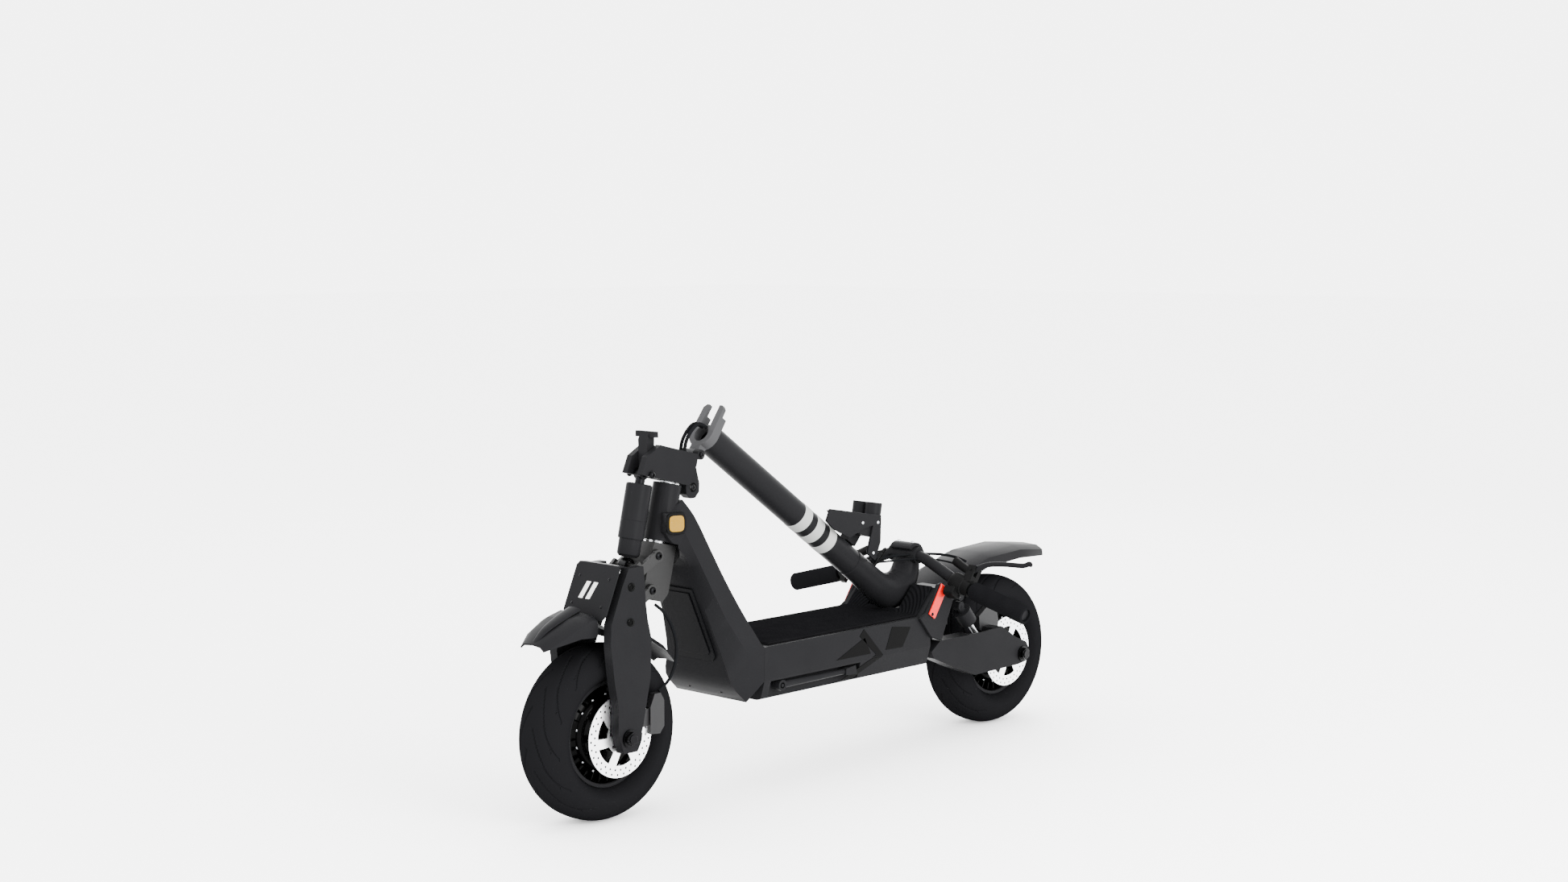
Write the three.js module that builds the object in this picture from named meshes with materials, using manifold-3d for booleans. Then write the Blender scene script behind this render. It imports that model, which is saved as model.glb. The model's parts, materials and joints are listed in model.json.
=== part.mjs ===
// Electric kick scooter, folded: a three.js assembly of separate named pieces.
// Millimetres. +X is forward, +Y is the rider's left, +Z is up. The origin is on the ground midway
// between the wheels.
import * as THREE from "three";
import { mergeVertices } from "three/addons/utils/BufferGeometryUtils.js";
import Module from "manifold-3d";

const wasm = await Module();
wasm.setup();

// ---------------------------------------------------------------- driving dimensions
const WHEELBASE = 1046.6;
const TYRE_RADIUS = 150;
const TYRE_HALF_WIDTH = 51.3;
const RIM_RADIUS = 91.7;
const RIM_HALF_WIDTH = 29;
const ROTOR_RADIUS = 70;
const ROTOR_THICKNESS = 2;
const AXLE_RADIUS = 8;
const GAP = 0.3;                    // between pieces that touch
const RUNNING = 0.8;                // between a pin and its hole

const DECK_RISE = 114;              // deck top above the axles
const DECK_DEPTH = 94;              // deck top to the frame's lower face
const DECK_HALF_WIDTH = 98;
const DECK_WALL = 12;
const SIDE_RAIL = 29;                // each side of the battery tray inside the deck
const PAN_THICKNESS = 4;
const RAMP_RUN = 48;                // kick ramp behind the deck
const RAMP_RISE = 50;
const MAT_THICKNESS = 4;
const STEM_VALLEY = 36;             // half width of the gap in the tail ramp for the folded stem

const RAKE = 14;                    // steering axis, degrees back from upright
const HEAD_AHEAD = -179.3;          // steering axis at the bracket's top face, from the front axle
const HEAD_ABOVE_DECK = 351;        // the same point above the deck
const FORK_HEAD_DROP = 315;         // from that point down to the fork's shoulders
const HEAD_TUBE_RADIUS = 25;
const STEERER_RADIUS = 14;
const BRACKET_HALF_WIDTH = 25;
const BRACKET_DEPTH = 57;
const FOLD_ANGLE = 111;             // stem travel from folded to upright, degrees
const HINGE_BACK = 44;              // fold hinge behind the steering axis
const KNUCKLE_RADIUS = 9;
const KNUCKLE_HALF = 12;
const FLANGE_THICKNESS = 18;
const PRONG_REACH = 57;
const PRONG_THICKNESS = 8;          // where the latch bar sits on the prongs

const LINK_FORWARD = 56;            // suspension link, measured in the steering frame
const LINK_DROP = 51.5;
const LINK_SPACING = 60;
const LINK_PIVOT = [22, -186.5];    // upper link on the lower bracket
const PIVOT_RADIUS = 6;
const FRONT_SHOCK_RADIUS = 22.5;
const SHOCK_TOP = [65, -54];
const SHOCK_FOOT = [61.7, -211];

const STEM_RADIUS = 26;
const STEM_WALL = 3;
const STEM_TUBE_START = 19;
const STEM_TUBE_END = 470;
const BAR_RISE = 608;               // bar centre above the bracket face, along the stem
const BAR_REACH = 93;               // bar centre ahead of the stem
const BAR_RADIUS = 11;
const BAR_HALF_LENGTH = 293;
const GRIP_RADIUS = 17.5;
const GRIP_LENGTH = 124;

const SWING_AHEAD = 255.3;          // swingarm pivot from the rear axle
const SWING_ABOVE = 42;
const SWING_HALF_WIDTH = 96;
const REAR_SHOCK_RADIUS = 18;
const KICKSTAND_LENGTH = 193;

// ---------------------------------------------------------------- placed points
const frontAxle = new THREE.Vector3(WHEELBASE / 2, 0, TYRE_RADIUS);
const rearAxle = new THREE.Vector3(-WHEELBASE / 2, 0, TYRE_RADIUS);
const tyreTop = 2 * TYRE_RADIUS;
const deckTop = TYRE_RADIUS + DECK_RISE;
const head = new THREE.Vector3(frontAxle.x + HEAD_AHEAD, 0, deckTop + HEAD_ABOVE_DECK);
const shoulder = head.z - FORK_HEAD_DROP;
const trayHalfWidth = DECK_HALF_WIDTH - SIDE_RAIL;
const deckBottom = deckTop - DECK_DEPTH;
const swingPivot = new THREE.Vector3(rearAxle.x + SWING_AHEAD, 0, rearAxle.z + SWING_ABOVE);
const legInner = TYRE_HALF_WIDTH + 9.7;
const legOuter = legInner + 19;
const swingInner = TYRE_HALF_WIDTH + 12.7;
const rotorY = TYRE_HALF_WIDTH + 5.5;
const rad = Math.PI / 180;

// ---------------------------------------------------------------- shape helpers
const v3 = (x, y, z) => new THREE.Vector3(x, y, z);

function volumeOf(geometry) {
  const p = geometry.getAttribute("position");
  const index = geometry.getIndex();
  const corner = [v3(), v3(), v3()];
  let total = 0;
  for (let i = 0; i < index.count; i += 3) {
    corner.forEach((c, k) => c.fromBufferAttribute(p, index.getX(i + k)));
    total += corner[0].dot(corner[1].cross(corner[2])) / 6;
  }
  return total;
}

// Welds a geometry's corners and turns its faces outward.
function welded(geometry) {
  const plain = new THREE.BufferGeometry();
  plain.setAttribute("position", geometry.getAttribute("position").clone());
  if (geometry.getIndex()) plain.setIndex(geometry.getIndex().clone());
  const result = mergeVertices(plain, 1e-4);
  if (volumeOf(result) < 0) {
    const index = result.getIndex();
    for (let i = 0; i < index.count; i += 3) {
      const first = index.getX(i);
      index.setX(i, index.getX(i + 2));
      index.setX(i + 2, first);
    }
  }
  return result;
}

function toSolid(geometry) {
  const mesh = welded(geometry);
  return wasm.Manifold.ofMesh(new wasm.Mesh({
    numProp: 3,
    vertProperties: new Float32Array(mesh.getAttribute("position").array),
    triVerts: new Uint32Array(mesh.getIndex().array),
  }));
}

function toGeometry(solid) {
  const mesh = solid.getMesh();
  const geometry = new THREE.BufferGeometry();
  geometry.setAttribute("position", new THREE.BufferAttribute(new Float32Array(mesh.vertProperties), 3));
  geometry.setIndex(new THREE.BufferAttribute(new Uint32Array(mesh.triVerts), 1));
  return geometry;
}

const join = (...pieces) => toGeometry(wasm.Manifold.union(pieces.map(toSolid)));
const cut = (base, ...tools) => toGeometry(toSolid(base).subtract(wasm.Manifold.union(tools.map(toSolid))));

// A side outline of [x, z] corners, extruded from y0 to y1.
function profile(corners, y0, y1) {
  const shape = new THREE.Shape(corners.map(([x, z]) => new THREE.Vector2(x, z)));
  const geometry = new THREE.ExtrudeGeometry(shape, { depth: y1 - y0, bevelEnabled: false });
  geometry.rotateX(Math.PI / 2);
  geometry.translate(0, y1, 0);
  return geometry;
}

const block = (x0, x1, y0, y1, z0, z1) =>
  new THREE.BoxGeometry(x1 - x0, y1 - y0, z1 - z0).translate((x0 + x1) / 2, (y0 + y1) / 2, (z0 + z1) / 2);

// A rod of one radius, or tapering to a second, from one point to another.
function rod(from, to, radius, segments = 20, endRadius = radius) {
  const along = to.clone().sub(from);
  const geometry = new THREE.CylinderGeometry(endRadius, radius, along.length(), segments);
  geometry.applyQuaternion(new THREE.Quaternion().setFromUnitVectors(v3(0, 1, 0),
    along.clone().normalize()));
  const middle = from.clone().add(to).multiplyScalar(0.5);
  return geometry.translate(middle.x, middle.y, middle.z);
}

// A rod across the scooter at [x, z].
const crossRod = ([x, z], y0, y1, radius, segments = 20) => rod(v3(x, y0, z), v3(x, y1, z), radius,
  segments);

// A disc-like piece turned about the Y axis from [radius, y] corners that close on themselves.
const turned = (corners, segments) =>
  new THREE.LatheGeometry([...corners, corners[0]].map(([r, y]) => new THREE.Vector2(r, y)), segments);

// A skin through rings of equal corner counts, closed at both ends.
function loft(rings, flat) {
  const count = rings[0].length;
  const positions = rings.flat().flat();
  const index = [];
  for (let k = 0; k + 1 < rings.length; k++) {
    for (let i = 0; i < count; i++) {
      const a = k * count + i;
      const b = k * count + ((i + 1) % count);
      index.push(a, b, b + count, a, b + count, a + count);
    }
  }
  const caps = [0, rings.length - 1];
  caps.forEach((ring, side) => {
    const outline = rings[ring].map(flat);
    const faces = THREE.ShapeUtils.triangulateShape(outline, []);
    faces.forEach(([a, b, c]) => {
      const at = [a, b, c].map((i) => i + ring * count);
      index.push(...at);
    });
  });
  return orientShell(positions, index, rings.length, count);
}

// Gives the end caps the winding that matches the skin.
function orientShell(positions, index, ringCount, count) {
  const edges = new Set();
  const skin = (ringCount - 1) * count * 6;
  for (let i = 0; i < skin; i += 3) {
    for (let k = 0; k < 3; k++) edges.add(`${index[i + k]}_${index[i + ((k + 1) % 3)]}`);
  }
  for (const ring of [0, ringCount - 1]) {
    const faces = [];
    for (let i = skin; i < index.length; i += 3) {
      if (Math.floor(index[i] / count) === ring) faces.push(i);
    }
    const onSkin = (i, k) => edges.has(`${index[i + k]}_${index[i + ((k + 1) % 3)]}`);
    const clash = faces.some((i) => [0, 1, 2].some((k) => onSkin(i, k)));
    if (clash) {
      faces.forEach((i) => {
        [index[i], index[i + 2]] = [index[i + 2], index[i]];
      });
    }
  }
  const geometry = new THREE.BufferGeometry();
  geometry.setAttribute("position", new THREE.Float32BufferAttribute(positions, 3));
  geometry.setIndex(index);
  return geometry;
}

const seenFromAbove = ([x, y]) => new THREE.Vector2(x, y);
const seenFromAhead = ([, y, z]) => new THREE.Vector2(y, z);

// A round bar along a smooth curve through points.
function swept(points, radius, steps, sides = 8) {
  const circle = new THREE.Shape();
  circle.absarc(0, 0, radius, 0, 2 * Math.PI);
  return new THREE.ExtrudeGeometry(circle, {
    steps,
    curveSegments: sides / 2,
    bevelEnabled: false,
    extrudePath: new THREE.CatmullRomCurve3(points),
  });
}

const mirrored = (geometry) => {
  const copy = geometry.clone().applyMatrix4(new THREE.Matrix4().makeScale(1, -1, 1));
  return welded(copy);
};

// ---------------------------------------------------------------- materials
const paint = (color, roughness, metalness) =>
  new THREE.MeshStandardMaterial({ color, roughness, metalness });
const materials = {
  satinBlack: paint(0x26282b, 0.5, 0.4),
  glossBlack: paint(0x0c0d0f, 0.18, 0.3),
  linkGrey: paint(0x6d7074, 0.45, 0.7),
  silver: paint(0xc4c6c8, 0.3, 0.95),
  steel: paint(0x8d9094, 0.32, 0.9),
  tyre: paint(0x1b1c1e, 0.9, 0),
  rubber: paint(0x222426, 0.85, 0),
  plastic: paint(0x1f2022, 0.6, 0.05),
  amber: paint(0xff7a12, 0.25, 0),
  red: paint(0xc8141c, 0.25, 0),
  cell: paint(0x2d5f8a, 0.5, 0),
};

// ---------------------------------------------------------------- scene groups
const scooter = new THREE.Group();
const steering = new THREE.Group();
steering.position.copy(head);
steering.rotation.y = -RAKE * rad;
scooter.add(steering);
const foldHinge = new THREE.Group();
foldHinge.position.set(-HINGE_BACK, 0, 0);
foldHinge.rotation.y = -FOLD_ANGLE * rad;
steering.add(foldHinge);
// The stem's own frame: its z runs from the bracket face to the handlebar, its x points the way the
// headlight shines.
const stem = new THREE.Group();
stem.position.set(HINGE_BACK, 0, 0);
foldHinge.add(stem);

function add(group, name, geometry, material) {
  const mesh = new THREE.Mesh(welded(geometry), materials[material]);
  mesh.name = name;
  group.add(mesh);
}

// A point of the steering frame, given as [ahead, up the axis], seen from the side in the scooter's frame.
function fromSteering([e, a]) {
  const c = Math.cos(RAKE * rad);
  const s = Math.sin(RAKE * rad);
  return [head.x + e * c - a * s, head.z + e * s + a * c];
}

// ---------------------------------------------------------------- wheels
function addWheel(prefix, axle) {
  const hub = new THREE.Group();
  hub.position.copy(axle);
  scooter.add(hub);
  const w = TYRE_HALF_WIDTH;
  const crown = TYRE_RADIUS;
  const bead = RIM_RADIUS + GAP;
  const wall = bead + 0.36 * (crown - bead);
  const half = [[bead, RIM_HALF_WIDTH - 1], [bead + 7, w * 0.86], [wall, w], [wall + 15, w * 0.92],
    [crown - 9, w * 0.64], [crown - 2, w * 0.32]];
  const other = half.map(([r, y]) => [r, -y]).reverse();
  add(hub, `${prefix}_tyre`, turned([...half, [crown, 0], ...other], 48), "tyre");

  const lip = RIM_HALF_WIDTH + 1;
  const bossEnd = rotorY - ROTOR_THICKNESS / 2 - GAP;
  const bore = AXLE_RADIUS + RUNNING;
  const face = [[bore, bossEnd], [24, bossEnd], [27, 36], [60, 27], [66, 20], [RIM_RADIUS - 12, 16],
    [RIM_RADIUS - 7, lip], [RIM_RADIUS, lip]];
  const back = [[RIM_RADIUS, -lip], [RIM_RADIUS - 7, -lip], [RIM_RADIUS - 12, -16], [66, -20], [60, -27],
    [27, -36],
    [24, -bossEnd], [bore, -bossEnd]];
  add(hub, `${prefix}_hub_motor`, turned([...face, ...back], 40), "glossBlack");

  const y0 = rotorY - ROTOR_THICKNESS / 2;
  const y1 = rotorY + ROTOR_THICKNESS / 2;
  const disc = turned([[bore, y0], [ROTOR_RADIUS, y0], [ROTOR_RADIUS, y1], [bore, y1]], 48);
  const windows = [];
  const windowCount = 6;
  for (let i = 0; i < windowCount; i++) {
    const shape = new THREE.Shape();
    shape.absarc(0, 0, ROTOR_RADIUS - 20, 0, 40 * rad, false);
    shape.absarc(0, 0, 28, 30 * rad, 8 * rad, true);
    const window = new THREE.ExtrudeGeometry(shape, { depth: 8, bevelEnabled: false, curveSegments: 5 });
    window.rotateX(Math.PI / 2).translate(0, rotorY + 4, 0).rotateY((i * 2 * Math.PI) / windowCount);
    windows.push(window);
  }
  add(hub, `${prefix}_rotor`, cut(disc, ...windows), "silver");
}
addWheel("front", frontAxle);
addWheel("rear", rearAxle);

function axleWithNuts(at, halfSpan) {
  const shaft = crossRod([at.x, at.z], -halfSpan - 12, halfSpan + 12, AXLE_RADIUS, 16);
  const nuts = [-1, 1].map((side) => {
    const inner = side * (halfSpan + GAP);
    return join(crossRod([at.x, at.z], inner, inner + side * 3, 15, 24),
      crossRod([at.x, at.z], inner + side * 2.5, inner + side * 10, 12, 6));
  });
  return join(shaft, ...nuts);
}

// ---------------------------------------------------------------- deck and neck
const deckFront = head.x - 125;
const deckRear = swingPivot.x + 72;
const rampFoot = deckRear - 8;
const creaseZ = deckTop - 59;
const NECK_STEPS = 21;
const chamferHalfWidth = DECK_HALF_WIDTH - 10;

function deckRing(x) {
  return [[x, DECK_HALF_WIDTH, deckTop], [x, DECK_HALF_WIDTH, creaseZ], [x, chamferHalfWidth, deckBottom],
    [x, -chamferHalfWidth, deckBottom], [x, -DECK_HALF_WIDTH, creaseZ], [x, -DECK_HALF_WIDTH, deckTop]];
}

// Rings in between a few given ones, each corner following a smooth curve from ring to ring.
function smoothed(rings, steps) {
  const strandAt = (i) => new THREE.CatmullRomCurve3(rings.map((ring) => v3(...ring[i])));
  const strands = [...rings[0].keys()].map(strandAt);
  const result = [];
  for (let k = 0; k <= steps; k++) result.push(strands.map((strand) => strand.getPoint(k / steps).toArray()));
  return result;
}

// One neck section: its rear edge, side crease and front edge as [x, half width, z].
function neckRing(rear, crease, front) {
  const left = [rear, crease, front];
  const right = [front, crease, rear].map(([x, y, z]) => [x, -y, z]);
  return [...left, ...right];
}

function makeFrame() {
  const h = (x, z) => [head.x + x, head.z + z];
  const at = (x, y, z) => [h(x, z)[0], y, h(x, z)[1]];
  const low = (x, y, z) => [head.x + x, y, deckTop + z];
  const wide = DECK_HALF_WIDTH;
  const neck = loft(smoothed([
    neckRing(at(-2, 20, -86), at(16, 26, -92), at(36, 22, -100)),
    neckRing(at(-10, 40, -112), at(20, 40, -124), at(50, 30, -136)),
    neckRing(at(-32, 56, -169), at(4, 58, -176), at(14, 44, -182)),
    neckRing(at(-51, 0.74 * wide, -223), at(-16, 0.74 * wide, -230), at(-6, 0.5 * wide, -238)),
    neckRing(low(-75, 0.9 * wide, 73), low(-47, 0.83 * wide, 58), low(-28, 0.6 * wide, 52)),
    neckRing(low(-104, 0.96 * wide, 28), low(-74, 0.93 * wide, 13), low(-49, 0.72 * wide, -14)),
    neckRing(low(-125, wide, 0), low(-106, 0.98 * wide, -35), low(-58, 0.86 * wide, -61)),
    neckRing(low(-145, wide, -2), low(-127, wide, -59), low(-89, chamferHalfWidth, -DECK_DEPTH)),
  ], NECK_STEPS), seenFromAbove);
  const deck = loft([deckRing(deckRear - 40), deckRing(deckFront)], seenFromAhead);
  const headTube = rod(v3(...spread(fromSteering([0, -60]))), v3(...spread(fromSteering([0, -160]))),
    HEAD_TUBE_RADIUS, 32);
  const reflectorPads = [1, -1].map((side) => reflectorBlock(side, 36, 24, -13.5));
  const rampTop = deckTop + RAMP_RISE;
  const tail = profile([[deckRear + 10, deckTop - 4], [rampFoot, deckTop], [rampFoot - RAMP_RUN, rampTop],
    [swingPivot.x - 16, rampTop], [swingPivot.x - 16, deckTop - 24], [deckRear - 30, deckTop - 24]],
  -DECK_HALF_WIDTH, DECK_HALF_WIDTH);
  const pivotHalf = swingInner - 4;
  const nose = profile([[deckRear, deckTop - 20], [deckRear, deckBottom + 2], [swingPivot.x,
    swingPivot.z - 20],
    [swingPivot.x - 14, swingPivot.z - 14], [swingPivot.x - 18, swingPivot.z], [swingPivot.x - 16,
    deckTop - 20]],
  -pivotHalf, pivotHalf);
  const ears = [1, -1].map((side) => rearShockEar(side));
  const stemValley = block(swingPivot.x - 60, deckRear + 20, -STEM_VALLEY, STEM_VALLEY, deckTop,
    rampTop + 20);
  const pocket = block(deckRear + 14, deckFront - 14, -trayHalfWidth, trayHalfWidth, deckBottom - 5,
    deckTop - DECK_WALL);
  const shaftHole = crossRod([swingPivot.x, swingPivot.z], -110, 110, PIVOT_RADIUS + 2 + RUNNING);
  const steererHole = rod(v3(...spread(fromSteering([0, -40]))), v3(...spread(fromSteering([0, -190]))),
    STEERER_RADIUS + RUNNING, 24);
  const sideClear = sweptClearance();
  const stand = kickstandRecess();
  const turning = rod(v3(...spread(fromSteering([0, -161]))), v3(...spread(fromSteering([0, -330]))),
    BRACKET_HALF_WIDTH + 17, 32);
  const hollowed = cut(join(neck, deck, headTube, ...reflectorPads, tail, nose, ...ears), pocket, shaftHole,
    steererHole, stand, stemValley, turning, ...sideClear);
  return join(hollowed, crossRod([kick.x, kick.z], kick.y - 16, kick.y + 7, KICK_PIN, 16));
}

const spread = ([x, z]) => [x, 0, z];

// Room for the swingarm's front ends inside the tail's outer sides.
function sweptClearance() {
  const inner = swingInner - 4;
  return [[inner, 120], [-120, -inner]].map(([y0, y1]) =>
    block(swingPivot.x - 60, swingPivot.x + 34, y0, y1, deckBottom - 20, deckTop - 24.5));
}

const rearShockY = (swingInner + SWING_HALF_WIDTH - 6) / 2 - 6.2;
const rearShockTop = [swingPivot.x - 84, swingPivot.z + 92];
const rearShockFoot = [swingPivot.x - 140, swingPivot.z + 6];

function rearShockEar(side) {
  const y0 = side > 0 ? rearShockY - 6 : -rearShockY - 6;
  const [x, z] = rearShockTop;
  return join(
    profile([[swingPivot.x - 10, z - 16], [swingPivot.x - 10, z + 22], [x + 4, z + 22], [x - 6, z + 14],
      [x - 6, z + 2], [x + 14, z - 2]], y0, y0 + 12),
    crossRod([x, z], y0, y0 + 12, 9));
}

function kickstandRecess() {
  return block(kick.x - KICKSTAND_LENGTH - 14, kick.x + 30, kick.y - 14, DECK_HALF_WIDTH + 10,
    deckBottom - 5, kick.z + 12);
}
const kick = v3(deckFront - 47, DECK_HALF_WIDTH - 8, deckBottom + 19);
const KICK_PIN = 3;
// The bore is wide because the leg swings about an axis tilted from its pin.
const KICK_BORE = 5.6;

// A square block on the neck's side that a reflector sits on; depth runs from its face inward.
function reflectorBlock(side, size, thickness, offset) {
  const geometry = new THREE.BoxGeometry(size, thickness, size);
  geometry.translate(0, offset, 0);
  geometry.rotateZ(-18 * rad);
  geometry.translate(head.x + 35, 43, head.z - 122);
  return side > 0 ? geometry : mirrored(geometry);
}

add(scooter, "main_frame", makeFrame(), "satinBlack");
add(scooter, "belly_pan", block(deckRear + 4, deckFront - 4, -trayHalfWidth - 6, trayHalfWidth + 6,
  deckBottom - GAP - PAN_THICKNESS, deckBottom - GAP),
  "satinBlack");
add(scooter, "battery_pack", block(deckRear + 20, deckFront - 30, -trayHalfWidth + 4, trayHalfWidth - 4,
  deckBottom + 4, deckTop - DECK_WALL - 6), "cell");
add(scooter, "neck_reflector_left", reflectorBlock(1, 37, 5, 2.5 - 1.5 + GAP), "amber");
add(scooter, "neck_reflector_right", reflectorBlock(-1, 37, 5, 2.5 - 1.5 + GAP), "amber");

function makeMat() {
  const slope = Math.hypot(RAMP_RUN, RAMP_RISE);
  const nx = RAMP_RISE / slope;
  const nz = RAMP_RUN / slope;
  // The corner where the mat bends, and its upper end, at one distance off the frame.
  const bend = (d) => [rampFoot + (d - d * nz) / nx, deckTop + d];
  const end = (d) => [rampFoot - RAMP_RUN + d * nx, deckTop + RAMP_RISE + d * nz];
  const top = GAP + MAT_THICKNESS;
  const foot = rampFoot;
  const outline = [[deckFront - 16, deckTop + GAP], [deckFront - 20, deckTop + top], bend(top), end(top),
    end(GAP),
    bend(GAP)];
  const valley = block(foot - 80, foot - 4, -STEM_VALLEY - 3, STEM_VALLEY + 3, deckTop - 10, deckTop + 90);
  return cut(profile(outline, -DECK_HALF_WIDTH + 10, DECK_HALF_WIDTH - 10), valley);
}
add(scooter, "deck_mat", makeMat(), "rubber");

// The dark panel in the neck's front face, lying just ahead of it.
function makeNeckCover() {
  const shape = new THREE.Shape([[-40, 0], [40, 0], [52, -104], [44, -114], [-44, -114], [-52, -104]]
    .map(([y, s]) => new THREE.Vector2(y, s)));
  const geometry = new THREE.ExtrudeGeometry(shape, { depth: 3, bevelEnabled: false });
  geometry.applyMatrix4(new THREE.Matrix4().makeBasis(v3(0, 1, 0), v3(Math.sin(18.6 * rad), 0,
    Math.cos(18.6 * rad)),
    v3(Math.cos(18.6 * rad), 0, -Math.sin(18.6 * rad))));
  return geometry.translate(head.x - 6, 0, head.z - 240);
}
add(scooter, "neck_cover", makeNeckCover(), "glossBlack");

// ---------------------------------------------------------------- tail
function tailWing(side) {
  const x = swingPivot.x;
  const z = deckTop;
  const outline = [[x + 72, z - 2], [x + 53, z + 8], [x + 32, z + 37], [x + 20, z + 58], [x + 8, z + 60],
    [x - 10, z + 42], [x - 24, z + 22], [x + 9, z - 52], [x + 40, z - 40]];
  const y0 = DECK_HALF_WIDTH + GAP;
  const plate = profile(outline, y0, y0 + 7);
  return side > 0 ? plate : mirrored(plate);
}
function tailLamp(side) {
  const lamp = new THREE.BoxGeometry(66, 4, 20);
  lamp.rotateY(56 * rad);
  lamp.translate(swingPivot.x + 24, DECK_HALF_WIDTH + 2 * GAP + 9, deckTop + 27);
  return side > 0 ? lamp : mirrored(lamp);
}
add(scooter, "tail_wing_left", tailWing(1), "satinBlack");
add(scooter, "tail_wing_right", tailWing(-1), "satinBlack");
add(scooter, "tail_lamp_left", tailLamp(1), "red");
add(scooter, "tail_lamp_right", tailLamp(-1), "red");

// A thin arch across the scooter at one x: its top, its side edges and its half width.
function archRing(x, top, edge, half, t) {
  const outer = [[-half, edge], [-half, top - 10], [-half * 0.7, top - 2], [0, top], [half * 0.7, top - 2],
    [half, top - 10], [half, edge]];
  const h = half - t;
  const inner = [[h, edge], [h, top - 10 - t * 0.4], [h * 0.7, top - 2 - t], [0, top - t], [-h * 0.7,
    top - 2 - t],
    [-h, top - 10 - t * 0.4], [-h, edge]];
  return [...outer, ...inner].map(([y, z]) => [x, y, z]);
}

function makeRearFender() {
  const x = rearAxle.x;
  const z = tyreTop;
  const half = TYRE_HALF_WIDTH + 3;
  const shell = loft([archRing(x + 234, z + 6, z - 12, half - 2, 4), archRing(x + 196, z + 2, z - 18, half,
    4),
    archRing(x + 147, z + 29, z + 2, half, 4), archRing(x + 59, z + 55, z + 26, half, 4),
    archRing(x - 45, z + 61, z + 34, half, 4), archRing(x - 126, z + 53, z + 30, half - 6, 4),
    archRing(x - 149, z + 40, z + 26, half - 22, 4)], seenFromAhead);
  const plate = block(x + 232, x + 238.9, -half + 4, half - 4, z - 12, z + 4);
  return join(shell, plate);
}
add(scooter, "rear_fender", makeRearFender(), "satinBlack");

// ---------------------------------------------------------------- kickstand
function makeKickstand() {
  const tip = v3(kick.x - KICKSTAND_LENGTH, kick.y, kick.z);
  const leg = join(
    rod(v3(kick.x, kick.y - 9, kick.z), v3(kick.x, kick.y + 7, kick.z), 10),
    rod(v3(kick.x, kick.y, kick.z), v3(tip.x + 24, kick.y, kick.z), 7, 12, 5.5),
    profile([[tip.x + 26, tip.z - 6], [tip.x + 26, tip.z + 6], [tip.x, tip.z + 9], [tip.x - 4, tip.z - 8]],
      tip.y - 6, tip.y + 8));
  return cut(leg, crossRod([kick.x, kick.z], kick.y - 20, kick.y + 20, KICK_BORE, 16));
}
add(scooter, "kickstand_leg", makeKickstand(), "satinBlack");

// ---------------------------------------------------------------- swingarm and its shocks
function makeSwingarm() {
  const x = swingPivot.x;
  const z = swingPivot.z;
  const ax = rearAxle.x;
  const outline = [[x + 28, z], [x + 2, z + 18], [x - 134, z + 18], [x - 190, z + 21], [ax + 23, z - 5],
    [ax - 13, z - 20], [ax - 25, z - 40], [ax - 15, z - 58], [ax + 12, z - 62], [x - 105, z - 64], [x - 40,
    z - 40],
    [x + 21, z - 14]];
  const arm = profile(outline, swingInner, SWING_HALF_WIDTH);
  const [fx, fz] = rearShockFoot;
  const pocket = profile([[fx + 50, fz + 40], [fx + 42, fz], [fx + 20, fz - 14], [fx - 26, fz - 14],
    [fx - 30, fz + 40]],
    swingInner - 20, SWING_HALF_WIDTH - 5);
  const arms = cut(arm, pocket);
  const bridge = block(x - 66, x - 36, -swingInner - 2, swingInner + 2, z - 34, z + 14);
  const shaft = crossRod([x, z], -swingInner - 4, swingInner + 4, PIVOT_RADIUS + 2);
  const axleHole = crossRod([ax, rearAxle.z], -120, 120, AXLE_RADIUS + RUNNING);
  return cut(join(arms, mirrored(arms), bridge, shaft), axleHole);
}
add(scooter, "rear_swingarm", makeSwingarm(), "satinBlack");
add(scooter, "rear_axle", axleWithNuts(rearAxle, SWING_HALF_WIDTH), "steel");

function makeShock(top, foot, y, radius, bodyLength, rodRadius, eye) {
  const [tx, tz] = top;
  const along = v3(foot[0] - tx, 0, foot[1] - tz);
  const length = along.length();
  along.normalize();
  const at = (s) => v3(tx, y, tz).addScaledVector(along, s);
  const bodyStart = eye.bodyStart;
  const body = join(
    crossRod(top, y - eye.half, y + eye.half, eye.radius),
    rod(at(0), at(bodyStart + 4), eye.radius * 0.9, 16),
    rod(at(bodyStart), at(bodyLength), radius, 28));
  const bodySolid = cut(body, rod(at(bodyStart + 8), at(bodyLength + 5), rodRadius + RUNNING, 16));
  const strut = join(
    rod(at(bodyLength - eye.overlap), at(length), rodRadius, 14),
    crossRod(foot, y - eye.half, y + eye.half, eye.footRadius));
  const rodSolid = cut(strut, crossRod(foot, y - 40, y + 40, eye.footHole, 16));
  return { body: bodySolid, rod: rodSolid };
}

const rearEye = { half: 7, radius: 9, bodyStart: 12, overlap: 4, footRadius: 8, footHole: 4 };
[["left", 1], ["right", -1]].forEach(([side, sign]) => {
  const top = [rearShockTop[0], rearShockTop[1] - 20];
  const shock = makeShock(top, rearShockFoot, sign * rearShockY, REAR_SHOCK_RADIUS, 44, 6, rearEye);
  add(scooter, `rear_shock_body_${side}`, shock.body, "satinBlack");
  add(scooter, `rear_shock_rod_${side}`, shock.rod, "steel");
});

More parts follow.
